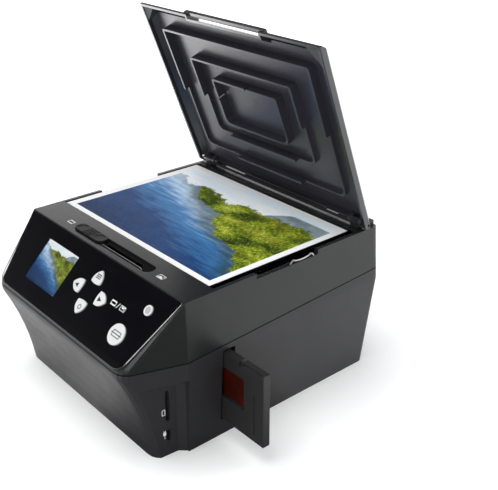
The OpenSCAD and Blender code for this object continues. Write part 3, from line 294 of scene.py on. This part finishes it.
class Look:
    """A procedural material, put together node by node."""

    def __init__(self, name, **shader):
        self.material = bpy.data.materials.new(name)
        self.material.use_nodes = True
        self.tree = self.material.node_tree
        self.bsdf = self.tree.nodes["Principled BSDF"]
        for key, value in shader.items():
            self.bsdf.inputs[key.replace("_", " ")].default_value = value

    def node(self, kind, inputs=None, **settings):
        made = self.tree.nodes.new(kind)
        for key, value in settings.items():
            setattr(made, key, value)
        for key, value in (inputs or {}).items():
            self.put(made.inputs[key], value)
        return made

    def put(self, socket, value):
        if isinstance(value, bpy.types.NodeSocket):
            self.tree.links.new(value, socket)
        elif hasattr(value, "__len__") and len(value) == 3 and socket.type == "RGBA":
            socket.default_value = (*value, 1)
        else:
            socket.default_value = value

    def set(self, **shader):
        for key, value in shader.items():
            self.put(self.bsdf.inputs[key.replace("_", " ")], value)

    def spot(self):
        """Object position, in metres."""
        return self.node("ShaderNodeTexCoord").outputs["Object"]

    def facing_up(self):
        """Upward share of the surface's direction."""
        return self.split(self.node("ShaderNodeTexCoord").outputs["Normal"])[2]

    def split(self, vector):
        return self.node("ShaderNodeSeparateXYZ", {0: vector}).outputs

    def calc(self, operation, *values):
        return self.node("ShaderNodeMath", dict(enumerate(values)), operation=operation).outputs[0]

    def scaled(self, vector, factors):
        return self.node("ShaderNodeVectorMath", {0: vector, 1: factors},
                         operation="MULTIPLY").outputs[0]

    def noise(self, scale, detail=3, rough=0.55, vector=None):
        return self.node("ShaderNodeTexNoise", {
            "Vector": vector if vector is not None else self.spot(), "Scale": scale,
            "Detail": detail, "Roughness": rough}).outputs[0]

    def span(self, value, low, high, to_low=0.0, to_high=1.0, smooth=False):
        return self.node("ShaderNodeMapRange", {0: value, 1: low, 2: high, 3: to_low, 4: to_high},
                         interpolation_type="SMOOTHSTEP" if smooth else "LINEAR").outputs[0]

    def mix(self, factor, a, b):
        made = self.node("ShaderNodeMix", data_type="RGBA")
        self.put(made.inputs[0], factor)
        self.put(made.inputs[6], a)
        self.put(made.inputs[7], b)
        return made.outputs[2]

    def ramp(self, factor, stops):
        made = self.node("ShaderNodeValToRGB", {0: factor})
        marks = made.color_ramp.elements
        while len(marks) < len(stops):
            marks.new(0.5)
        for mark, (at, colour) in zip(marks, stops):
            mark.position = at
            mark.color = (*colour, 1)
        return made.outputs[0]

    def relief(self, height, depth, strength=0.5, edge=0.0):
        """Bump of the given depth, over edges rounded by the radius edge."""
        inputs = {"Height": height, "Distance": depth, "Strength": strength}
        if edge:
            inputs["Normal"] = self.node("ShaderNodeBevel", {"Radius": edge}, samples=4).outputs[0]
        self.set(Normal=self.node("ShaderNodeBump", inputs).outputs[0])


def moulded(name, dark, light, rough, grain=2400, depth=0.00003, edge=0.0004, **shader):
    """Moulded plastic: fine eroded grain, faint flow marks and a few rubbed places."""
    look = Look(name, **shader)
    flow = look.span(look.noise(11, 4), 0.35, 0.65)
    speck = look.span(look.noise(grain * 0.6, 2), 0.3, 0.7)
    tone = look.calc("ADD", look.calc("MULTIPLY", flow, 0.6), look.calc("MULTIPLY", speck, 0.4))
    look.set(Base_Color=look.mix(tone, dark, light))
    rubbed = look.span(look.noise(38, 6, 0.65), 0.35, 0.7, rough + 0.04, rough - 0.05)
    look.set(Roughness=rubbed)
    look.relief(look.noise(grain, 3), depth, 0.5, edge)
    return look


def polish_top(look, weight):
    """A smoother lacquer on the faces that look straight up."""
    up = look.span(look.facing_up(), 0.85, 0.98)
    look.set(Coat_Weight=look.calc("MULTIPLY", up, weight), Coat_Roughness=0.22, Coat_IOR=1.65)
    rough = look.bsdf.inputs["Roughness"].links[0].from_socket
    look.set(Roughness=look.calc("SUBTRACT", rough, look.calc("MULTIPLY", up, 0.16)))
    return look


def glossy(name, dark, light, rough, edge=0.0003, **shader):
    """Polished plastic: nearly even, with faint wipe marks in the gloss."""
    look = Look(name, **shader)
    wipe = look.noise(30, 5, 0.6, look.scaled(look.spot(), (1.0, 6.0, 3.0)))
    look.set(Base_Color=look.mix(look.span(look.noise(9, 3), 0.35, 0.65), dark, light))
    look.set(Roughness=look.span(wipe, 0.35, 0.7, rough, rough + 0.08))
    look.relief(look.noise(140, 2), 0.00001, 0.15, edge)
    return look


def metal(name, dark, light, rough, along=(1.0, 18.0, 18.0), **shader):
    """Drawn or turned metal, with fine lines along one direction."""
    look = Look(name, Metallic=1.0, **shader)
    lines = look.noise(420, 4, 0.6, look.scaled(look.spot(), along))
    look.set(Base_Color=look.mix(look.span(lines, 0.3, 0.7), dark, light))
    look.set(Roughness=look.span(lines, 0.3, 0.7, rough, rough + 0.12))
    look.relief(lines, 0.00001, 0.3, 0.00015)
    return look


def clear(name, tint, rough, **shader):
    """Clear glass or film with a trace of haze."""
    look = Look(name, Transmission_Weight=1.0, **shader)
    haze = look.noise(55, 4)
    look.set(Base_Color=look.mix(look.span(haze, 0.4, 0.7), tint, tuple(c * 0.94 for c in tint)))
    look.set(Roughness=look.span(haze, 0.35, 0.7, rough, rough + 0.03))
    return look


def landscape(look, u, v, seed):
    """A made-up waterside view. u runs to the right and v up, both from 0 to 1."""
    spot = look.node("ShaderNodeCombineXYZ", {0: u, 1: v, 2: seed}).outputs[0]

    def grain(scale, detail, rough=0.55, stretch=(1, 1, 1)):
        return look.noise(scale, detail, rough, look.scaled(spot, stretch))

    def weigh(*pairs):
        total = None
        for value, share in pairs:
            part = look.calc("MULTIPLY", value, share)
            total = part if total is None else look.calc("ADD", total, part)
        return total

    # Water, deep in front and pale behind, with glints
    ripple = grain(7, 6, 0.6, (1.0, 5.0, 1.0))
    depth = weigh((v, 0.72), (u, 0.32), (ripple, 0.28), (grain(2.2, 2), 0.2))
    water = look.ramp(look.calc("SUBTRACT", depth, 0.20), (
        (0.0, (0.003, 0.016, 0.066)), (0.34, (0.008, 0.048, 0.165)),
        (0.47, (0.055, 0.205, 0.450)), (0.60, (0.600, 0.770, 0.950))))
    glint = look.span(grain(60, 4, 0.7, (0.6, 3.0, 1.0)), 0.52, 0.72, 0.0, 0.25)
    water = look.mix(glint, water, (0.150, 0.300, 0.560))

    # The leafy bank at the right, and its mirror image in the water
    bank = look.calc("SUBTRACT", weigh((u, 0.66), (v, 0.86), (grain(4.5, 8, 0.6), 0.34)), 0.99)
    mirror = look.span(bank, -0.16, -0.02, smooth=True)
    water = look.mix(look.calc("MULTIPLY", mirror, 0.75), water, (0.020, 0.045, 0.040))
    clump = weigh((grain(7, 4), 0.70), (grain(60, 8, 0.8, (1.5, 0.7, 1)), 1.05))
    leaves = look.ramp(look.calc("SUBTRACT", clump, 0.35), (
        (0.36, (0.008, 0.018, 0.003)), (0.48, (0.075, 0.120, 0.008)),
        (0.59, (0.270, 0.340, 0.018)), (0.74, (0.700, 0.740, 0.130))))
    earth = look.span(grain(5.5, 5, 0.6), 0.50, 0.64, 0.0, 0.55)
    leaves = look.mix(earth, leaves, look.mix(0.5, leaves, (0.200, 0.110, 0.020)))
    near = look.mix(look.span(bank, -0.012, 0.012), water, leaves)

    # Far hills under a light sky
    ridge = look.calc("SUBTRACT", weigh((u, 0.95), (grain(3.2, 6, 0.6, (1, 0, 1)), 0.26)), 0.76)
    hills = look.ramp(grain(16, 6, 0.6), (
        (0.3, (0.160, 0.215, 0.250)), (0.7, (0.360, 0.430, 0.470))))
    cloud = look.span(grain(4, 6, 0.6, (1, 3, 1)), 0.4, 0.65)
    sky = look.mix(cloud, (0.800, 0.920, 0.990), (0.980, 0.990, 1.000))
    above = look.calc("SUBTRACT", look.calc("SUBTRACT", v, look.calc("MINIMUM", ridge, 0.15)), 0.78)
    back = look.mix(look.span(above, 0.0, 0.012), hills, sky)

    crown = look.calc("SUBTRACT", v, weigh((grain(5, 3, 0.5, (1, 0, 1)), 0.32),
                                           (grain(30, 6, 0.7), 0.16), (u, -0.03)))
    return look.mix(look.span(crown, 0.585, 0.60), near, back)


def print_look():
    """Photo paper: the view, inside a white border."""
    look = Look("print_paper", Specular_IOR_Level=0.2)
    left, right, front, rear = -0.0845, 0.0812, -0.0446, 0.0732
    x, y, _ = look.split(look.spot())
    u = look.span(x, left, right)
    v = look.span(y, front, rear)
    view = landscape(look, u, v, 2.7)
    inside = 1.0
    for value in (u, v):
        off = look.calc("ABSOLUTE", look.calc("SUBTRACT", value, 0.5))
        inside = look.calc("MULTIPLY", inside, look.calc("LESS_THAN", off, 0.4999))
    look.set(Base_Color=look.mix(inside, (0.90, 0.90, 0.90), view))
    look.set(Roughness=look.span(look.noise(90, 4), 0.3, 0.7, 0.32, 0.42))
    look.relief(look.noise(700, 3), 0.000008, 0.2)
    return look


def display_look():
    """The lit display: the view in fine rows, on its front face alone."""
    look = Look("display_glow", Roughness=0.4)
    x, _, z = look.split(look.spot())
    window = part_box("lcd_window")
    margin = 0.0001
    u = look.span(x, window[0].x + margin, window[1].x - margin)
    v = look.span(z, window[0].z + margin, window[1].z - margin)
    view = landscape(look, u, v, 5.3)
    rows = look.node("ShaderNodeTexWave", {"Vector": look.spot(), "Scale": 2600.0},
                     bands_direction="Z").outputs[1]
    view = look.mix(look.calc("MULTIPLY", rows, 0.06), view, (0.0, 0.0, 0.0))
    front = look.calc("GREATER_THAN", look.facing_up(), 0.6)
    look.set(Base_Color=look.mix(front, (0.30, 0.31, 0.32), (0.01, 0.01, 0.012)))
    look.set(Emission_Color=look.mix(front, (0.0, 0.0, 0.0), view))
    look.set(Emission_Strength=0.92)
    return look


def film_look():
    """Processed colour negative: an orange-brown base with darker frames."""
    look = Look("film_base", Roughness=0.3, Specular_IOR_Level=0.25)
    pitch, first, middle = 0.038, -0.0157, 0.0454   # of the frames
    wide, half_high = 0.474, 0.012                  # of one frame, from its middle
    x, _, z = look.split(look.spot())
    turn = look.calc("DIVIDE", look.calc("ADD", x, 10 * pitch - first), pitch)
    turn = look.calc("FRACT", look.calc("ADD", turn, 0.5))
    off_x = look.calc("ABSOLUTE", look.calc("SUBTRACT", turn, 0.5))
    off_z = look.calc("ABSOLUTE", look.calc("SUBTRACT", z, middle))
    inside = look.calc("MULTIPLY", look.calc("LESS_THAN", off_x, wide),
                       look.calc("LESS_THAN", off_z, half_high))
    shades = look.ramp(look.noise(55, 6, 0.6), (
        (0.30, (0.030, 0.0030, 0.0008)), (0.55, (0.060, 0.0060, 0.0012)),
        (0.75, (0.100, 0.0120, 0.0020))))
    look.set(Base_Color=look.mix(inside, (0.150, 0.022, 0.005), shades))
    look.relief(look.noise(300, 3), 0.00001, 0.2)
    return look


def board_look():
    """Circuit board: green mask over tracks and pads."""
    look = Look("board_mask", Roughness=0.35, Coat_Weight=0.3)
    tracks = look.node("ShaderNodeTexBrick", {
        "Vector": look.spot(), "Scale": 260.0, "Mortar Size": 0.05,
        "Color1": (0.010, 0.095, 0.035, 1), "Color2": (0.014, 0.120, 0.045, 1),
        "Mortar": (0.020, 0.170, 0.060, 1)}).outputs[0]
    pads = look.span(look.noise(500, 2), 0.62, 0.66)
    look.set(Base_Color=look.mix(pads, tracks, (0.42, 0.36, 0.16)))
    look.relief(look.noise(900, 2), 0.00002, 0.4, 0.0002)
    return look


def led_look():
    look = Look("led_dome", Roughness=0.25)
    look.set(Base_Color=look.mix(look.span(look.noise(900, 2), 0.4, 0.6),
                                 (0.86, 0.80, 0.45), (0.90, 0.88, 0.70)))
    look.set(Emission_Color=look.mix(look.noise(500, 1), (1.0, 0.98, 0.92), (0.95, 0.97, 1.0)))
    look.set(Emission_Strength=0.15)
    return look


def mirror_look():
    look = Look("mirror_silver", Metallic=1.0)
    haze = look.noise(70, 4)
    look.set(Base_Color=look.mix(haze, (0.88, 0.89, 0.90), (0.93, 0.94, 0.94)))
    look.set(Roughness=look.span(haze, 0.4, 0.75, 0.01, 0.05))
    return look


def make_looks():
    """One look for each material slot of the record."""
    return {
        # Lower casing: its colour is set lighter than the upper casing's, a painted sheen standing
        # in for the light its front and sides reflect.
        "casing": moulded("casing", (0.0225, 0.0225, 0.0245), (0.0300, 0.0300, 0.0325), 0.42,
                          edge=0.0006, Specular_IOR_Level=0.42),
        "casing_upper": polish_top(moulded("casing_upper", (0.0095, 0.0100, 0.0102),
                                           (0.0140, 0.0148, 0.0148), 0.38, edge=0.0006), 1.0),
        "panel": glossy("panel", (0.0030, 0.0030, 0.0040), (0.0045, 0.0045, 0.0060), 0.10,
                        Specular_IOR_Level=0.35),
        "window": clear("window", (0.97, 0.98, 0.98), 0.02, IOR=1.2),
        "display": display_look(),
        "frame_grey": moulded("frame_grey", (0.075, 0.075, 0.080), (0.100, 0.100, 0.105), 0.5),
        "key_white": moulded("key_white", (0.66, 0.66, 0.66), (0.72, 0.72, 0.72), 0.38,
                             grain=3200, depth=0.00001, edge=0.0005),
        "key_grey": moulded("key_grey", (0.42, 0.39, 0.40), (0.50, 0.47, 0.48), 0.35,
                            grain=3200, depth=0.00001, edge=0.0003),
        "board_green": board_look(),
        "chip_black": moulded("chip_black", (0.012, 0.012, 0.013), (0.022, 0.022, 0.023), 0.45,
                              edge=0.0002),
        "ribbon": metal("ribbon", (0.55, 0.32, 0.10), (0.70, 0.42, 0.14), 0.35),
        "knob": moulded("knob", (0.008, 0.008, 0.008), (0.013, 0.013, 0.013), 0.32, edge=0.0004),
        "link": moulded("link", (0.22, 0.22, 0.23), (0.27, 0.27, 0.28), 0.5),
        "glass": clear("glass", (0.97, 0.99, 0.985), 0.01, IOR=1.12),
        "print": print_look(),
        "lid": moulded("lid", (0.020, 0.020, 0.024), (0.028, 0.028, 0.033), 0.34, edge=0.0009,
                       Coat_Weight=0.7, Coat_Roughness=0.22),
        "liner": moulded("liner", (0.026, 0.025, 0.035), (0.036, 0.035, 0.047), 0.32, edge=0.0004,
                         Coat_Weight=0.2, Coat_Roughness=0.3),
        "bumper": moulded("bumper", (0.05, 0.05, 0.058), (0.075, 0.075, 0.085), 0.6, edge=0.0005,
                          Specular_IOR_Level=0.2),
        "steel": metal("steel", (0.50, 0.50, 0.52), (0.66, 0.66, 0.68), 0.28),
        "spring_steel": metal("spring_steel", (0.42, 0.42, 0.44), (0.58, 0.58, 0.60), 0.3,
                              along=(18.0, 18.0, 1.0)),
        "brass": metal("brass", (0.58, 0.42, 0.15), (0.70, 0.53, 0.22), 0.26),
        "mirror": mirror_look(),
        "optic": clear("optic", (0.86, 0.92, 0.98), 0.01, IOR=1.6),
        "holder": moulded("holder", (0.018, 0.018, 0.019), (0.026, 0.026, 0.027), 0.36,
                          edge=0.0004),
        "film": film_look(),
        "light_white": moulded("light_white", (0.74, 0.74, 0.74), (0.82, 0.82, 0.81), 0.6),
        "diffuser": moulded("diffuser", (0.80, 0.80, 0.80), (0.88, 0.88, 0.88), 0.45,
                            depth=0.00002, edge=0.0003),
        "led": led_look(),
        "rubber": moulded("rubber", (0.010, 0.010, 0.010), (0.020, 0.020, 0.020), 0.7,
                          grain=1500, depth=0.00006),
    }


def dress_frame(looks):
    """Each node of the frame takes the look of its slot in the record."""
    for part in frame["record"]["subparts"]:
        node = nodes[part["node"]]
        node.data.materials.clear()
        node.data.materials.append(looks[part["material_slot"]].material)


# ----------------------------------------------------------------- added pieces

def printed(name, shapes, place, low, look, body, thick=0.03):
    """Flat printed marks. A shape is one outline, or a pair of outlines for a ring."""
    form = bmesh.new()
    for shape in shapes:
        if isinstance(shape[0][0], tuple):
            add_ring(form, shape[0], shape[1], place, low, low + thick)
        else:
            add_plate(form, shape, place, low, low + thick)
    finish_piece(name, form, look, body)


def picture_sign(x, y, w, h):
    """A generic picture sign: a frame with a hill and a sun."""
    frame_line = (round_box(x, y, w, h, 0.5), round_box(x, y, w - 0.9, h - 0.9, 0.25))
    hill = [(x - w / 2 + 0.7, y - h / 2 + 0.7), (x - 0.4, y + h / 2 - 1.3),
            (x + 0.6, y - 0.2), (x + 1.0, y + 0.2), (x + w / 2 - 0.7, y - h / 2 + 0.7)]
    return [frame_line, hill, disc(x + w / 4, y + h / 2 - 1.1, 0.38, 12)]


def film_sign(x, y, w, h):
    """A generic film sign: a frame with broad long sides."""
    return [(round_box(x, y, w, h, 0.3), round_box(x, y, w - 1.0, h - 1.9, 0.25))]


def make_key_signs(ink):
    """Arrows, bars and a ring on the four keys, and a page on the scan button."""
    left = [(-2.7, 28.0), (1.3, 29.6), (0.9, 26.2)]
    right = [(30.3, 28.0), (26.2, 26.0), (26.6, 29.6)]
    printed("key_left_arrow", [left], on_panel, KEY_TOP, ink, "left_key")
    printed("key_right_arrow", [right], on_panel, KEY_TOP, ink, "right_key")
    bars = [round_box(14.6, 15.4 + 1.3 * k, 5.4, 0.7, 0.3) for k in (-1, 0, 1)]
    printed("key_up_sign", bars, on_panel, KEY_TOP, ink, "up_key")
    ring = [(disc(15.0, 39.2, 1.75), disc(15.0, 39.2, 1.15))]
    printed("key_down_sign", ring, on_panel, KEY_TOP, ink, "down_key")
    x, s = 60.2, 39.5
    page = [(round_box(x, s, 8.4, 4.6, 0.7), round_box(x, s, 7.3, 3.5, 0.4)),
            round_box(x, s, 10.6, 0.6, 0.25)]
    printed("scan_sign", page, on_panel, KEY_TOP, ink, "scan_key")


def make_mode_signs(ink):
    """Film and picture signs beside the slider, and once more on the panel."""
    film = film_sign(-55.5, 9.0, 6.4, 4.0)
    picture = picture_sign(58.0, 9.0, 6.4, 4.4)
    printed("film_sign_deck", film, on_deck, 0, ink, "housing")
    printed("picture_sign_deck", picture, on_deck, 0, ink, "housing")
    slash = [(45.0, 26.2), (45.6, 26.2), (47.4, 22.2), (46.8, 22.2)]
    marks = film_sign(41.0, 24.2, 5.6, 3.6) + [slash] + picture_sign(51.4, 24.2, 5.6, 3.6)
    printed("mode_signs_panel", marks, on_panel, INLAY_TOP, ink, "housing")


def soft_corners(corners, radii, steps=6):
    """A closed outline through the corners, each rounded by its radius."""
    line = []
    for i, (corner, radius) in enumerate(zip(corners, radii)):
        here = Vector((*corner, 0))
        back = (Vector((*corners[i - 1], 0)) - here).normalized()
        ahead = (Vector((*corners[(i + 1) % len(corners)], 0)) - here).normalized()
        half = back.angle(ahead) / 2
        middle = here + (back + ahead).normalized() * (radius / math.sin(half))
        start = here + back * (radius / math.tan(half)) - middle
        end = here + ahead * (radius / math.tan(half)) - middle
        first = math.atan2(start.y, start.x)
        sweep = (math.atan2(end.y, end.x) - first + math.pi) % (2 * math.pi) - math.pi
        for k in range(steps + 1):
            turn = first + sweep * k / steps
            line.append((middle.x + radius * math.cos(turn), middle.y + radius * math.sin(turn)))
    return line


def inlay_line(grow):
    """Outline of the panel inlay as (x, s), moved outward by grow."""
    narrow = INLAY_NARROW * math.cos(TILT)
    start, end = 1.2, 57.4
    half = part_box("panel_inlay")[1].x / MM + start * narrow + grow
    start, end = start - grow, end + grow
    corners = [(-half + narrow * end, end), (half - narrow * end, end),
               (half - narrow * start, start), (-half + narrow * start, start)]
    return soft_corners(corners, (9 + grow, 9 + grow, 0.8, 0.8))


def make_panel_trim(look):
    """The polished bevel round the panel inlay."""
    form = bmesh.new()
    rows = [[form.verts.new(on_panel(x, s, out)) for x, s in inlay_line(grow)]
            for grow, out in ((0.55, -0.1), (0.55, 0.02), (0.15, 0.42), (0.05, -0.1))]
    join_rows(form, rows + rows[:1])
    finish_piece("panel_trim", form, look, "housing")


def cut_chain(plane, normal, keep, first):
    """Points and outward directions where a plane cuts the outside of the lower casing."""
    form = bmesh.new()
    form.from_mesh(nodes["lower_casing"].data)
    bmesh.ops.remove_doubles(form, verts=form.verts, dist=1e-6)
    cut = bmesh.ops.bisect_plane(form, geom=form.verts[:] + form.edges[:] + form.faces[:],
                                 plane_co=plane, plane_no=normal)["geom_cut"]
    form.normal_update()
    left = {e for e in cut if isinstance(e, bmesh.types.BMEdge)
            and all(keep(v.co) for v in e.verts)}
    start = min((v for e in left for v in e.verts), key=lambda v: first(v.co))

    # Walk both ways from the first point, and join the two walks
    chains = []
    for _ in range(2):
        here, chain = start, []
        while True:
            step = next((e for e in here.link_edges if e in left), None)
            if step is None:
                break
            left.discard(step)
            outward = sum((f.normal for f in step.link_faces), Vector())
            here = step.other_vert(here)
            chain.append((here.co.copy(), Vector((outward.x, outward.y, 0)).normalized()))
        chains.append(chain)
    middle = [(start.co.copy(), chains[0][0][1])]
    line = chains[1][::-1] + middle + chains[0]
    form.free()
    return line if line[0][0].x < line[-1][0].x else line[::-1]


def make_painted_seam_shade(look):
    """A black strip along the joint between the upper and the lower casing: painted shade standing
    in for the shadow in the gap.
    """
    half, inside, outside = 0.0003, -0.0004, 0.00008
    bend_y = DECK_FRONT * MM
    bend = (0, bend_y, SEAM_FRONT * MM - half)
    front = cut_chain(bend, (0, 0, 1), lambda p: p.y <= bend_y + 1e-6, lambda p: p.y)
    rear = cut_chain(bend, (0, -SEAM_SLOPE, 1), lambda p: p.y >= bend_y - 1e-6, lambda p: -p.y)
    line = front + rear[::-1][1:-1]
    form = bmesh.new()
    corners = ((inside, half), (outside, half), (outside, -half), (inside, -half))
    rows = [[form.verts.new(point + outward * reach + Vector((0, 0, rise)))
             for point, outward in line] for reach, rise in corners]
    join_rows(form, rows + rows[:1])
    finish_piece("casing_seam_painted_shade", form, look, "housing")


def make_track_painted_shade(look):
    """A black sheet on the floor of the slider track, round the slot of the slider's stem: painted
    shade for the dark recess.
    """
    form = bmesh.new()
    add_ring(form, round_box(0.8, TRACK_MIDDLE, 94.0, 10.0, 4.9, 8),
             round_box(0.2, TRACK_MIDDLE, 71.9, 4.3, 2.1, 8),
             on_deck, TRACK_FLOOR, TRACK_FLOOR + 0.13)
    finish_piece("track_floor_painted_shade", form, look, "housing")


def add_tube(form, path, radius, sides=8):
    """A round wire through the points of a path, in metres."""
    rings = []
    for i, point in enumerate(path):
        along = (path[min(i + 1, len(path) - 1)] - path[max(i - 1, 0)]).normalized()
        side = along.cross(Vector((0.31, 0.17, 1))).normalized()
        up = side.cross(along)
        rings.append([form.verts.new(point + side * (radius * math.cos(2 * math.pi * k / sides))
                                     + up * (radius * math.sin(2 * math.pi * k / sides)))
                      for k in range(sides)])
    form.faces.new(rings[0])
    form.faces.new(rings[-1])
    join_rows(form, rings)


def make_notch_clip(steel):
    """A wire clip in the finger recess at the right of the bed."""
    form = bmesh.new()
    x, radius = 95.4, 0.5
    bends = ((88.0, -2.9), (89.5, -1.2), (91.0, -0.6), (93.0, -1.6), (97.0, -2.2),
             (101.0, -2.2), (105.0, -1.6), (107.0, -0.6), (108.6, -1.1), (110.0, -2.9))
    add_tube(form, [on_deck(x, y, up) for y, up in bends], radius * MM)
    finish_piece("notch_clip", form, steel, "housing")


def make_port_signs(ink):
    """Generic signs beside the card slot and the cable socket."""
    card = [(1.2, 33.0), (3.8, 33.0), (3.8, 37.6), (2.0, 37.6), (1.2, 36.7)]
    inner = [(1.7, 33.5), (3.3, 33.5), (3.3, 37.1), (2.25, 37.1), (1.7, 36.5)]
    plug = [round_box(2.6, 18.0, 2.2, 2.6, 0.4),
            [(2.4, 14.2), (2.8, 14.2), (2.8, 16.7), (2.4, 16.7)]]
    pins = [[(a, 19.3), (a + 0.45, 19.3), (a + 0.45, 20.5), (a, 20.5)] for a in (1.85, 2.9)]
    printed("port_signs", [(card, inner)] + plug + pins, on_ports, 0, ink, "housing")


def make_track_rail(look):
    """The low rail between the two grooves of the slider track."""
    form = bmesh.new()
    line, half = [(-45.0, 7.2), (36.0, 7.2), (38.4, 6.7), (40.0, 5.6)], 0.25
    outline = [(x, y + half) for x, y in line] + [(x, y - half) for x, y in line[::-1]]
    add_plate(form, outline, on_deck, TRACK_FLOOR, TRACK_FLOOR + 0.22)
    finish_piece("track_rail", form, look, "housing")


def make_gate_mark(look):
    """The round mark of the moulding gate, inside the lid."""
    form = bmesh.new()
    x, s = 6.0, 85.0
    for outer, inner, steps, height in ((6.0, 5.4, 48, 0.06), (2.0, 1.6, 24, 0.05)):
        add_ring(form, disc(x, s, outer, steps), disc(x, s, inner, steps), in_lid,
                 LID_HOLLOW - height, LID_HOLLOW)
    finish_piece("gate_mark", form, look, "lid")


make_camera()
make_world()
for lamp in LAMPS:
    make_lamp(*lamp)
make_floor()
looks = make_looks()
dress_frame(looks)
# The board takes the black chip look: partly the black of a card socket, and partly painted shade
# for the inside of the slots where it shows.
nodes["port_board"].data.materials[0] = looks["chip_black"].material  # seen in the slots

ink_black = glossy("ink_black", (0.010, 0.010, 0.010), (0.020, 0.020, 0.020), 0.4, edge=0)
# Near-black look for painted shade: the strip along the casing seam and the sheet on the track
# floor.
painted_shade_black = moulded("painted_shade_black", (0.0030, 0.0030, 0.0030), (0.0050, 0.0050, 0.0050), 0.7,
                     edge=0, Specular_IOR_Level=0.1)
ink_white = glossy("ink_white", (0.74, 0.74, 0.75), (0.82, 0.82, 0.82), 0.4, edge=0)
trim_look = glossy("panel_trim", (0.012, 0.012, 0.013), (0.018, 0.018, 0.019), 0.14, edge=0,
                   Specular_IOR_Level=0.8)
rail_look = moulded("rail_grey", (0.22, 0.22, 0.23), (0.28, 0.28, 0.29), 0.35, edge=0)
gate_look = moulded("gate_grey", (0.045, 0.045, 0.052), (0.060, 0.060, 0.068), 0.30, edge=0)

make_key_signs(ink_black)
make_mode_signs(ink_white)
make_track_rail(rail_look)
make_track_painted_shade(painted_shade_black)
make_panel_trim(trim_look)
make_painted_seam_shade(painted_shade_black)
make_notch_clip(looks["steel"])
make_port_signs(ink_white)
make_gate_mark(gate_look)

scene = bpy.context.scene
scene.view_settings.view_transform = "Standard"
